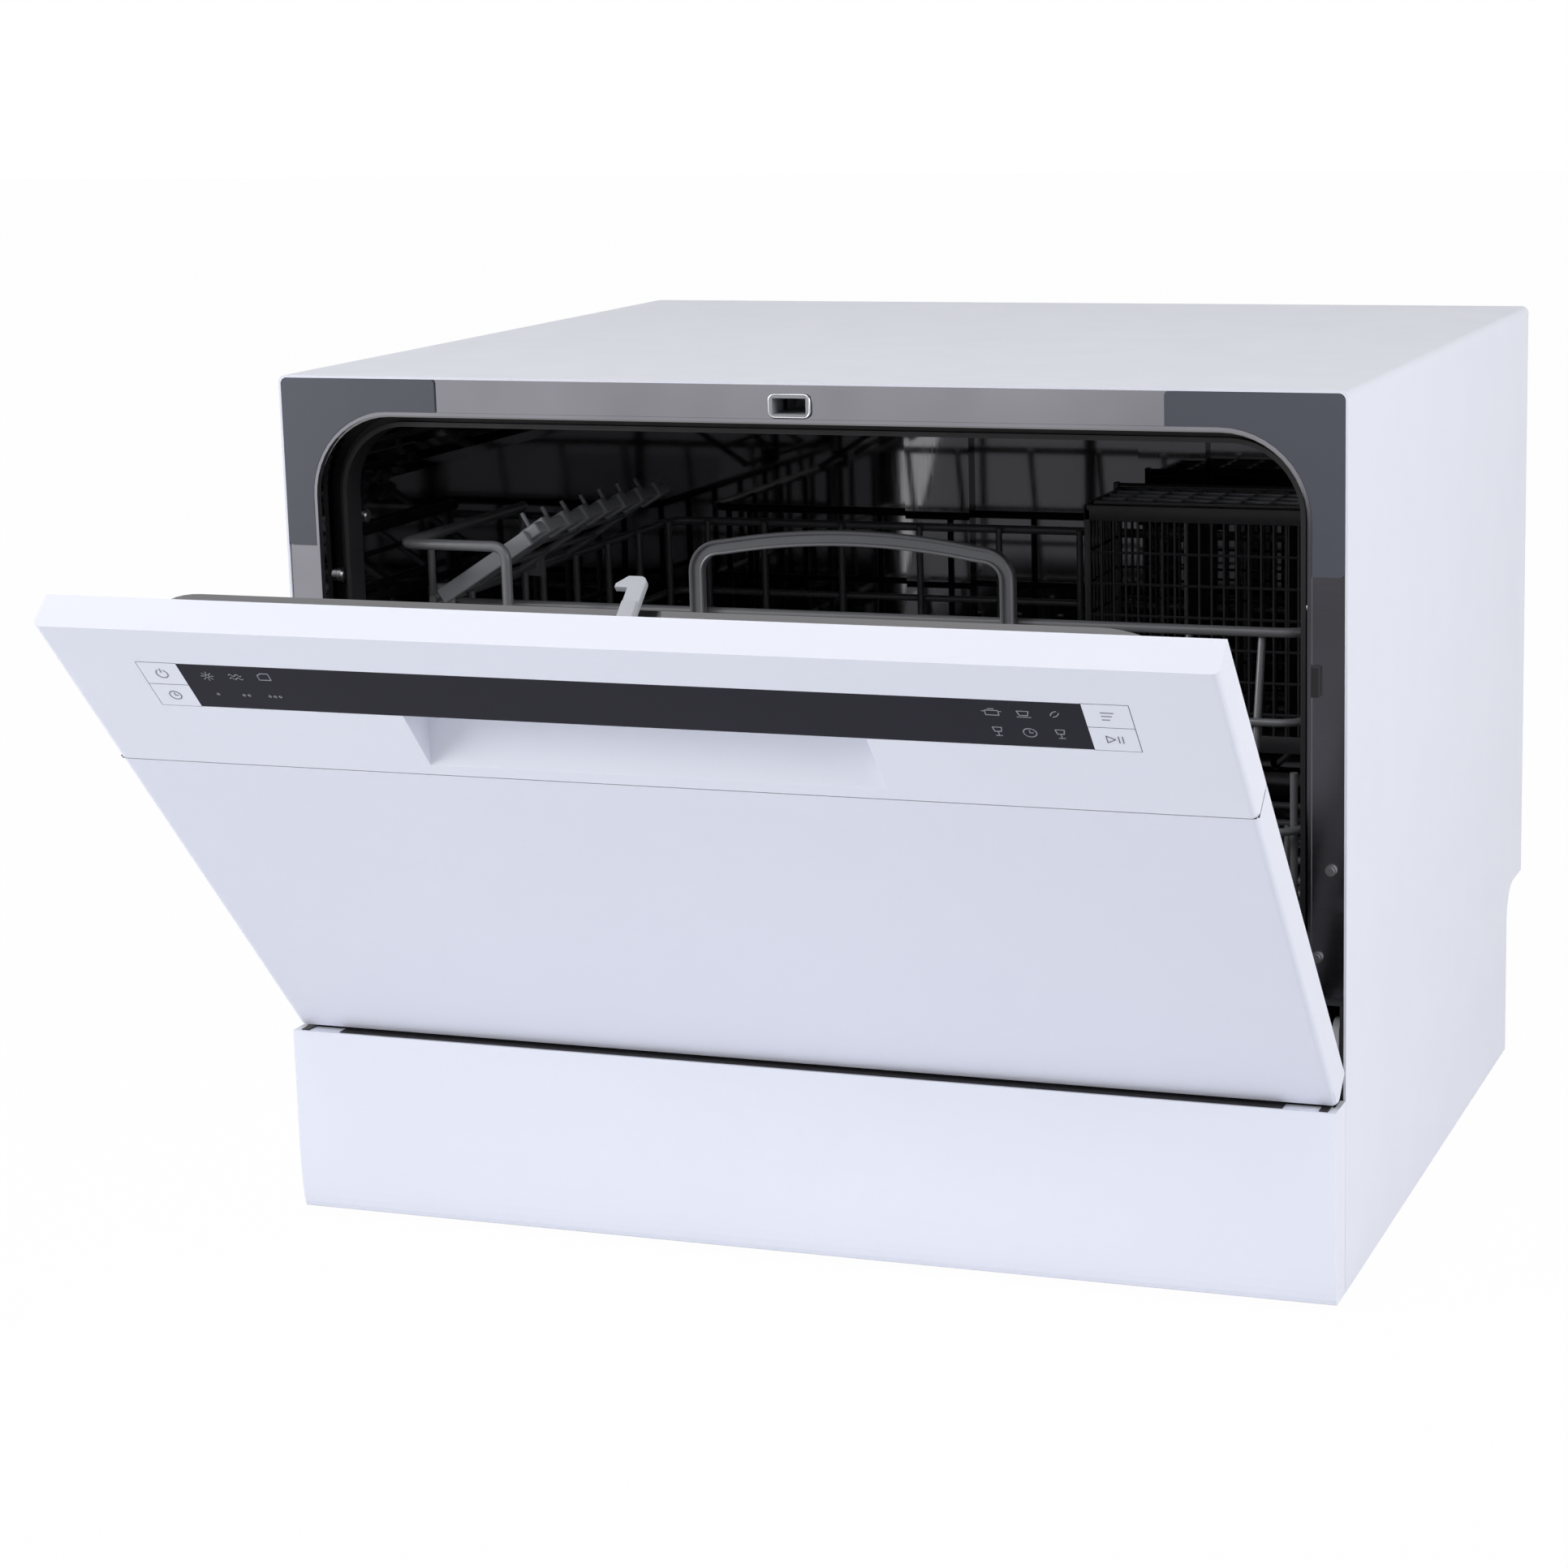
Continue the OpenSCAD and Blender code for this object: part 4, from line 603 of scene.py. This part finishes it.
class DISHWASHER_OT_basket(bpy.types.Operator):
    """Makes the meshed cutlery basket and its grid lid"""

    bl_idname = "dishwasher.basket"
    bl_label = "Cutlery basket"

    def execute(self, context):
        x0, x1, y0, y1, low, top, wall = 48.0, 226.0, 335.7, 401.7, 192.0, 331.0, 2.4
        bm = bmesh.new()
        for z0, z1 in ((low, low + 10), (top - 9, top)):
            for a, b, c, d in ((x0, x1, y0, y0 + wall), (x0, x1, y1 - wall, y1), (x0, x0 + wall, y0, y1),
                               (x1 - wall, x1, y0, y1)):
                soft_box(bm, (a, c, z0), (b, d, z1), 0.0006)
        soft_box(bm, (x0 + 0.3, y0 + 0.3, low + 0.2), (x1 - 0.3, y1 - 0.3, low + wall), 0.0004)
        bay = (x1 - x0 - 4 * wall) / 3
        for k in (1, 2):
            x = x0 + k * (bay + wall)
            soft_box(bm, (x, y0 + 1, low + 1), (x + wall, y1 - 1, top - 1), 0.0004)
        for x in (x0, x1 - 4):
            for y in (y0, y1 - 4):
                soft_box(bm, (x, y, low + 2), (x + 4, y + 4, top - 2), 0.0008)
        for x in (x0 + 36, x0 + 138):
            soft_box(bm, (x, y1 - 1, 307.8), (x + 14, 413.4, 310.3), 0.0006)
            soft_box(bm, (x, 411.4, 299.8), (x + 14, 413.4, 310.3), 0.0006)
        for x in (x0, x1 - 3):
            soft_box(bm, (x, y1 - 5.2, top - 1), (x + 3, y1, 336.2), 0.0006)
        bars = []
        levels = [low + 22 + 18 * k for k in range(6)]
        for y in (y0 + wall / 2, y1 - wall / 2):
            spots = [x0 + 3 + (x1 - x0 - 6) * k / 24 for k in range(1, 24)]
            bars += [line([(x, y, low + 4), (x, y, top - 4)]) for x in spots]
            bars += [line([(x0 + 2, y, z), (x1 - 2, y, z)]) for z in levels]
        for x in (x0 + wall / 2, x1 - wall / 2):
            spots = [y0 + 3 + (y1 - y0 - 6) * k / 9 for k in range(1, 9)]
            bars += [line([(x, y, low + 4), (x, y, top - 4)]) for y in spots]
            bars += [line([(x, y0 + 2, z), (x, y1 - 2, z)]) for z in levels]
        finished("cutlery_basket_shell", bm, "cutlery_basket", "basket", ["cutlery_basket"])
        wires("cutlery_basket_mesh", bars, 0.0018, 0.001, "basket", "cutlery_basket", sides=6)
        bm = bmesh.new()
        lid0, lid1 = top + 0.3, top + 2.5
        inset = 3.4
        for a, b, c, d in (
            (x0 + inset, x1 - inset, y0 + 1, y0 + 4), (x0 + inset, x1 - inset, y1 - 6, y1 - 3.2),
            (x0 + inset, x0 + inset + 3, y0 + 1, y1 - 3), (x1 - inset - 3, x1 - inset, y0 + 1, y1 - 3),
        ):
            soft_box(bm, (a, c, lid0), (b, d, lid1), 0.0005)
        finished("cutlery_lid_edge", bm, "cutlery_lid", "basket", ["cutlery_lid"])
        middle = (lid0 + lid1) / 2
        spots = [x0 + 4 + k * (x1 - x0 - 8) / 10 for k in range(1, 10)]
        grid = [line([(x, y0 + 2, middle), (x, y1 - 4, middle)]) for x in spots]
        spots = [y0 + 1 + k * 15.5 for k in range(1, 4)]
        grid += [line([(x0 + 5, y, middle), (x1 - 5, y, middle)]) for y in spots]
        # The grid's pale wires are painted highlights on the dark lid.
        wires("cutlery_lid_grid", grid, 0.0021, 0.001, "pale", "cutlery_lid", sides=8)
        hinge = [line([(x0 + 3.6, y1 - 2.6, top + 2.6), (x1 - 3.6, y1 - 2.6, top + 2.6)])]
        wires("cutlery_lid_hinge", hinge, 0.0042, 0.001, "basket", "cutlery_lid", sides=16)
        return {"FINISHED"}


# ---- controls

FACE_Y, DOOR_END, SEAM_Z = -21.8, 274.5, 332.3
STRIP = (376.5, 407.9)
BUTTON = (211.85, 20.3, 15.525)


def circle_marks(x, z, radius, start=0, end=360, steps=16):
    return arc((x, z), radius, start, end, steps)


def power_mark(x, z, r):
    return [circle_marks(x, z, r, 120, 420), [(x, z + 0.3 * r), (x, z + 1.25 * r)]]


def clock_mark(x, z, r):
    return [circle_marks(x, z, r), [(x, z + 0.65 * r), (x, z), (x + 0.55 * r, z)]]


def lines_mark(x, z, r):
    rows = ((0.8, 1.0), (0.0, 0.6), (-0.8, 0.2))
    return [[(x - r, z + h * r), (x + w * r, z + h * r)] for h, w in rows]


def start_mark(x, z, r):
    low, high, left = z - 0.8 * r, z + 0.8 * r, x - 1.2 * r
    bars = [[(x + side * r, low), (x + side * r, high)] for side in (0.6, 1.2)]
    return [[(left, low), (left, high), (x + 0.1 * r, z), (left, low)], *bars]


def star_mark(x, z, r):
    rays = []
    for k in range(8):
        a = math.radians(45 * k)
        rays.append([(x + q * r * math.cos(a), z + q * r * math.sin(a)) for q in (0.55, 1.1)])
    return rays + [circle_marks(x, z, 0.35 * r, steps=8)]


def wave_mark(x, z, r):
    def wave(height):
        return [(x + r * (-1.1 + 0.22 * k), z + height * r + 0.25 * r * math.sin(1.25 * k)) for k in range(11)]
    return [wave(0.4), wave(-0.4)]


def cup_mark(x, z, r):
    return [
        [(x - r, z + 0.4 * r), (x - 0.7 * r, z - 0.6 * r), (x + 0.5 * r, z - 0.6 * r),
         (x + 0.8 * r, z + 0.4 * r), (x - r, z + 0.4 * r)],
        [(x - 1.2 * r, z - r), (x + r, z - r)],
    ]


def pot_mark(x, z, r):
    return [
        [(x - r, z + 0.3 * r), (x - r, z - 0.8 * r), (x + r, z - 0.8 * r), (x + r, z + 0.3 * r),
         (x - r, z + 0.3 * r)],
        [(x - 1.5 * r, z + 0.1 * r), (x - r, z + 0.1 * r)],
        [(x + r, z + 0.1 * r), (x + 1.5 * r, z + 0.1 * r)],
        [(x - 0.5 * r, z + 0.7 * r), (x + 0.5 * r, z + 0.7 * r)],
    ]


def glass_mark(x, z, r):
    return [
        [(x - 0.7 * r, z + r), (x - 0.5 * r, z), (x + 0.5 * r, z), (x + 0.7 * r, z + r),
         (x - 0.7 * r, z + r)],
        [(x, z), (x, z - r)], [(x - 0.5 * r, z - r), (x + 0.5 * r, z - r)],
    ]


def leaf_mark(x, z, r):
    near, bend = 0.6 * r, 1.3 * r
    return [arc((x - near, z + near), bend, -80, -10, 6), arc((x + near, z - near), bend, 100, 170, 6)]


def dots_mark(count):
    def mark(x, z, r):
        return [circle_marks(x + 0.9 * r * (k - (count - 1) / 2), z, 0.22 * r, steps=6) for k in range(count)]
    return mark


def tablet_mark(x, z, r):
    return [
        [(x - r, z - 0.6 * r), (x - r, z + 0.5 * r), (x - 0.3 * r, z + r), (x + r, z + r),
         (x + r, z - 0.6 * r), (x - r, z - 0.6 * r)],
    ]


STRIP_MARKS = [
    (star_mark, -199, 399.6), (wave_mark, -184.5, 399.8), (tablet_mark, -170, 400.2),
    (dots_mark(1), -199, 386.4), (dots_mark(2), -184.5, 386.4), (dots_mark(3), -170, 386.4),
    (pot_mark, 171.5, 399.8), (cup_mark, 185.5, 399.8), (leaf_mark, 199, 399.8),
    (glass_mark, 171.5, 386.2), (clock_mark, 185.5, 386.2), (glass_mark, 199, 386.2),
]
BUTTON_MARKS = [
    ("power_button", power_mark, -222, 400.0), ("delay_button", clock_mark, -222, 384.2),
    ("program_button", lines_mark, 222, 400.0), ("start_button", start_mark, 222, 384.2),
]


def raised_lines(name, runs, depth, finish, body, width=None):
    width = width or sizes().mark_line
    points = [([door_place(x, depth, z) for x, z in run], False) for run in runs]
    return wires(name, points, width, 0.0001, finish, body, sides=6)


class DISHWASHER_OT_controls(bpy.types.Operator):
    """Puts plain generic marks on the display strip and the buttons"""

    bl_idname = "dishwasher.controls"
    bl_label = "Control marks"

    def execute(self, context):
        runs = [run for mark, x, z in STRIP_MARKS for run in mark(x, z, 2.9)]
        raised_lines("strip_marks", runs, FACE_Y + 0.15, "mark", "door")
        near, wide, tall = BUTTON
        # Dark lines round the buttons: painted shade in the slits around them.
        gap_shade_outlines = []
        for side in (-1, 1):
            for low in (STRIP[0], STRIP[1] - tall):
                a, b = side * near, side * (near + wide)
                gap_shade_outlines.append([(a, low), (b, low), (b, low + tall), (a, low + tall), (a, low)])
        raised_lines("button_gaps", gap_shade_outlines, FACE_Y + 0.16, "gap", "door", 0.00036)
        for body, mark, x, z in BUTTON_MARKS:
            raised_lines(body + "_mark", mark(x, z, 2.9), FACE_Y + 0.05, "dark_mark", body)
        return {"FINISHED"}


class DISHWASHER_OT_latch(bpy.types.Operator):
    """Makes the moulded latch hook on the door and the lining of its slot"""

    bl_idname = "dishwasher.latch"
    bl_label = "Latch hook"

    def execute(self, context):
        tip = [(0, 26.5), (-5, 22), (-5, 20), (1, 20)]
        outline = [(9, -2.5)] + arc((5.5, 23), 3.5, 0, 90, 6) + tip + [(1, -2.5)]
        bm = bmesh.new()
        prism(bm, outline, 418.4, 422.0, door_place, 0.5, 3)
        soft_box(bm, (-9, -3.5, 412.4), (15, -1.5, 425.4), 0.0006, 2, door_place)
        soft_box(bm, (1.2, -1.6, 418.5), (8.8, 12, 423.4), 0.0009, 2, door_place)
        finished("latch_hook_moulded", bm, "door", "pale", ["latch_hook"])
        ring = [(12, 416.5), (12, 427.5), (-9, 427.5), (-9, 416.5)]
        lip = [line([(x, -0.35, z) for x, z in ring], True)]
        wires("latch_catch_lip", lip, 0.0011, 0.003, "screw_steel", "cabinet", sides=10)
        return {"FINISHED"}


# ---- screws

def screw_tree():
    """Geometry Nodes: a domed head on every point, turned by the given Turn, with a flat dark cross on top as
    painted shade of its cross slot.
    """
    tree = bpy.data.node_groups.new("Screw heads", "GeometryNodeTree")
    face = tree.interface
    face.new_socket("Geometry", in_out="INPUT", socket_type="NodeSocketGeometry")
    for name, default in (("Radius", 0.003), ("Height", 0.0014)):
        socket = face.new_socket(name, in_out="INPUT", socket_type="NodeSocketFloat")
        socket.default_value = default
        socket.subtype = "DISTANCE"
    socket = face.new_socket("Turn", in_out="INPUT", socket_type="NodeSocketVector")
    socket.subtype = "EULER"
    face.new_socket("Head", in_out="INPUT", socket_type="NodeSocketMaterial")
    face.new_socket("Recess Shade", in_out="INPUT", socket_type="NodeSocketMaterial")
    face.new_socket("Geometry", in_out="OUTPUT", socket_type="NodeSocketGeometry")

    def add(kind, *links, **values):
        made = tree.nodes.new(kind)
        for key, value in values.items():
            setattr(made, key, value)
        for source, socket in links:
            tree.links.new(source, made.inputs[socket])
        return made

    def times(source, factor):
        made = add("ShaderNodeMath", (source, 0), operation="MULTIPLY")
        made.inputs[1].default_value = factor
        return made.outputs[0]

    given = add("NodeGroupInput").outputs
    head = add(
        "GeometryNodeMeshCone", (given["Radius"], "Radius Bottom"),
        (times(given["Radius"], 0.72), "Radius Top"), (given["Height"], "Depth"),
    )
    head.inputs["Vertices"].default_value = 24
    coated = add("GeometryNodeSetMaterial", (head.outputs[0], "Geometry"), (given["Head"], "Material"))
    sized = add("ShaderNodeCombineXYZ", (times(given["Radius"], 0.95), 0), (times(given["Radius"], 0.22), 1))
    sized.inputs[2].default_value = 0.00012
    bars = []
    for turn in (0.0, math.pi / 2):
        bar = add("GeometryNodeMeshCube", (sized.outputs[0], "Size"))
        lift = add("ShaderNodeCombineXYZ", (given["Height"], 2))
        moved = add("GeometryNodeTransform", (bar.outputs[0], "Geometry"), (lift.outputs[0], "Translation"))
        moved.inputs["Rotation"].default_value = (0, 0, turn + 0.4)
        bars.append(moved.outputs[0])
    cross = add("GeometryNodeJoinGeometry", (bars[0], 0), (bars[1], 0))
    # A flat dark cross laid on the head: painted shade of the cross slot.
    dark = add("GeometryNodeSetMaterial", (cross.outputs[0], "Geometry"), (given["Recess Shade"], "Material"))
    whole = add("GeometryNodeJoinGeometry", (coated.outputs[0], 0), (dark.outputs[0], 0))
    on = add(
        "GeometryNodeInstanceOnPoints", (given["Geometry"], "Points"), (whole.outputs[0], "Instance"),
        (given["Turn"], "Rotation"),
    )
    real = add("GeometryNodeRealizeInstances", (on.outputs[0], "Geometry"))
    add("NodeGroupOutput", (real.outputs[0], "Geometry"))
    return tree


def screws(name, spots, turn, radius, height, body):
    values = {
        "Radius": radius, "Height": height, "Turn": turn, "Head": FINISHES["screw_steel"],
        "Recess Shade": FINISHES["recess_shade"],
    }
    tree = tree_named("screws", screw_tree)
    return through_nodes(name, [tuple(p) for p in spots], [], tree, values, body, smooth_angle=30)


class DISHWASHER_OT_gap_shade(bpy.types.Operator):
    """Lays a black strip on the plinth's top, standing for the dark base under the door and painting the shade
    in that slit, and dark lines of painted shade in the door's seam
    """

    bl_idname = "dishwasher.seals"
    bl_label = "Seams and strips"

    def execute(self, context):
        # A black strip on the plinth's top: it stands for the dark base seen under the door and paints the
        # shade in that slit.
        bm = bmesh.new()
        for left, right in ((-271, -266.5), (-249, 249), (266.5, 271)):
            soft_box(bm, (left, -20.4, 96.42), (right, -2.5, 96.95), 0.0002, 1)
        finished("plinth_gap_shade_strip", bm, "cabinet", "rubber")
        # Dark lines along the door's seam and into its ends: painted shade.
        seam = [[(-273.6, SEAM_Z), (273.6, SEAM_Z)]]
        raised_lines("door_seam_shade_line", seam, FACE_Y + 0.5, "gap", "door", 0.0007)
        ends = []
        for x in (-DOOR_END, DOOR_END):
            ends.append(([door_place(x, FACE_Y + 1, SEAM_Z), door_place(x, -6, SEAM_Z)], False))
        wires("door_seam_shade_ends", ends, 0.0007, 0.0001, "gap", "door", sides=6)
        return {"FINISHED"}


class DISHWASHER_OT_screws(bpy.types.Operator):
    """Puts cross-head screws on the rear panel"""

    bl_idname = "dishwasher.screws"
    bl_label = "Screws"

    def execute(self, context):
        quarter = math.pi / 2
        rear = [place(x, 479.0, z) for z in (112, 424) for x in (-262, -90, 90, 262)]
        rear += [place(x, 479.0, z) for x in (-262, 262) for z in (216, 320)]
        rear += [place(x, 432.8, z) for x in (-262, -60, 60, 262) for z in (12, 88)]
        screws("rear_panel_screws", rear, (-quarter, 0, 0), 0.0036, 0.0009, "cabinet")
        return {"FINISHED"}


# ---- finishes and stage

class DISHWASHER_OT_finishes(bpy.types.Operator):
    """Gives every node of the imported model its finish"""

    bl_idname = "dishwasher.finishes"
    bl_label = "Finishes"

    def execute(self, context):
        FINISHES.update(make_finishes())
        for finish, names in CAD_FINISH.items():
            for name in names.split():
                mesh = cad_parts[name].data
                mesh.materials.clear()
                mesh.materials.append(FINISHES[finish])
        return {"FINISHED"}


def seen_white(tree, lit, glow):
    """Mixes what light meets with a white that only the camera, gloss and glass see."""
    path = tree.nodes.new("ShaderNodeLightPath")
    most = path.outputs["Is Camera Ray"]
    for other in ("Is Glossy Ray", "Is Transmission Ray"):
        joined = tree.nodes.new("ShaderNodeMath")
        joined.operation = "MAXIMUM"
        tree.links.new(most, joined.inputs[0])
        tree.links.new(path.outputs[other], joined.inputs[1])
        most = joined.outputs[0]
    mix = tree.nodes.new("ShaderNodeMixShader")
    tree.links.new(most, mix.inputs[0])
    tree.links.new(lit, mix.inputs[1])
    tree.links.new(glow, mix.inputs[2])
    return mix.outputs[0]


def lamp(name, spot, aim, width, height, power, tint=(1, 1, 1)):
    data = bpy.data.lights.new(name, "AREA")
    data.shape = "RECTANGLE"
    data.size, data.size_y, data.energy, data.color = width, height, power, tint
    made = bpy.data.objects.new(name, data)
    made.location = spot
    made.rotation_euler = (Vector(aim) - Vector(spot)).to_track_quat("-Z", "Y").to_euler()
    bpy.context.scene.collection.objects.link(made)


class DISHWASHER_OT_stage(bpy.types.Operator):
    """Sets the pale floor, the white surroundings, the soft lamps and the camera"""

    bl_idname = "dishwasher.stage"
    bl_label = "Studio stage"

    def execute(self, context):
        scene = context.scene
        bm = bmesh.new()
        bmesh.ops.create_grid(bm, x_segments=1, y_segments=1, size=12)
        mesh = bpy.data.meshes.new("studio_floor")
        bm.to_mesh(mesh)
        bm.free()
        floor = bpy.data.objects.new("studio_floor", mesh)
        scene.collection.objects.link(floor)
        made = Finish("studio_floor", colours().floor, 0.9)
        made.vary_colour(made.noise(2), 0.004)
        glow = made.node("ShaderNodeEmission", Strength=1.0)
        glow.inputs["Color"].default_value = (1, 1, 1, 1)
        part = made.node("ShaderNodeMixShader", Fac=0.985)
        made.tree.links.new(made.shader.outputs[0], part.inputs[1])
        made.tree.links.new(glow.outputs[0], part.inputs[2])
        out = made.tree.nodes["Material Output"]
        seen = seen_white(made.tree, made.shader.outputs[0], part.outputs[0])
        made.tree.links.new(seen, out.inputs["Surface"])
        mesh.materials.append(made.made)

        world = bpy.data.worlds.new("studio_surroundings")
        scene.world = world
        world.use_nodes = True
        tree = world.node_tree
        lit = tree.nodes["Background"]
        lit.inputs["Color"].default_value = (0.97, 0.98, 1.0, 1)
        lit.inputs["Strength"].default_value = 0.2
        seen = tree.nodes.new("ShaderNodeBackground")
        seen.inputs["Color"].default_value = (1, 1, 1, 1)
        tree.links.new(
            seen_white(tree, lit.outputs[0], seen.outputs[0]), tree.nodes["World Output"].inputs["Surface"]
        )

        lamp("soft_front", (0.0, -1.6, 2.6), (0, -0.1, 0.25), 2.2, 1.4, 26)
        lamp("soft_left", (-2.6, -2.0, 1.2), (0, -0.1, 0.25), 1.6, 1.6, 70)
        lamp("soft_right", (2.8, -0.6, 1.2), (0, 0, 0.25), 1.6, 1.6, 42)

        data = bpy.data.cameras.new("studio_camera")
        data.lens, data.sensor_width = sizes().lens * 1000, 36
        data.shift_x, data.shift_y = -0.0948, -0.0210
        data.clip_start, data.clip_end = 0.05, 60
        camera = bpy.data.objects.new("studio_camera", data)
        right = Vector((0.9457, 0.3244, -0.0193))
        up = Vector((-0.0468, 0.1949, 0.9797))
        back = -Vector((-0.3216, 0.9256, -0.1995))
        turn = Matrix((right, up, back)).transposed().to_4x4()
        camera.matrix_world = Matrix.Translation(place(630.8, -1611.4, 603.4)) @ turn
        scene.collection.objects.link(camera)
        scene.camera = camera
        scene.view_settings.view_transform = "Standard"
        return {"FINISHED"}


class DISHWASHER_PT_panel(bpy.types.Panel):
    """Lists the steps and the settings of the dishwasher"""

    bl_idname = "DISHWASHER_PT_panel"
    bl_label = "Dishwasher"
    bl_space_type = "VIEW_3D"
    bl_region_type = "UI"
    bl_category = "Dishwasher"

    def draw(self, context):
        for step in STEPS:
            self.layout.operator(step.bl_idname)
        for group in (context.scene.dishwasher_colours, context.scene.dishwasher_sizes):
            for key in group.__annotations__:
                self.layout.prop(group, key)


STEPS = (
    DISHWASHER_OT_finishes, DISHWASHER_OT_rack, DISHWASHER_OT_handle, DISHWASHER_OT_cup_shelf,
    DISHWASHER_OT_basket, DISHWASHER_OT_controls, DISHWASHER_OT_latch, DISHWASHER_OT_gap_shade,
    DISHWASHER_OT_screws, DISHWASHER_OT_stage,
)
CLASSES = (DishwasherColours, DishwasherSizes, *STEPS, DISHWASHER_PT_panel)


def register():
    for made in CLASSES:
        bpy.utils.register_class(made)
    bpy.types.Scene.dishwasher_colours = bpy.props.PointerProperty(type=DishwasherColours)
    bpy.types.Scene.dishwasher_sizes = bpy.props.PointerProperty(type=DishwasherSizes)


def unregister():
    del bpy.types.Scene.dishwasher_sizes
    del bpy.types.Scene.dishwasher_colours
    for made in reversed(CLASSES):
        bpy.utils.unregister_class(made)


def main():
    register()
    for step in STEPS:
        group, name = step.bl_idname.split(".")
        getattr(getattr(bpy.ops, group), name)()


if __name__ == "__main__":
    main()
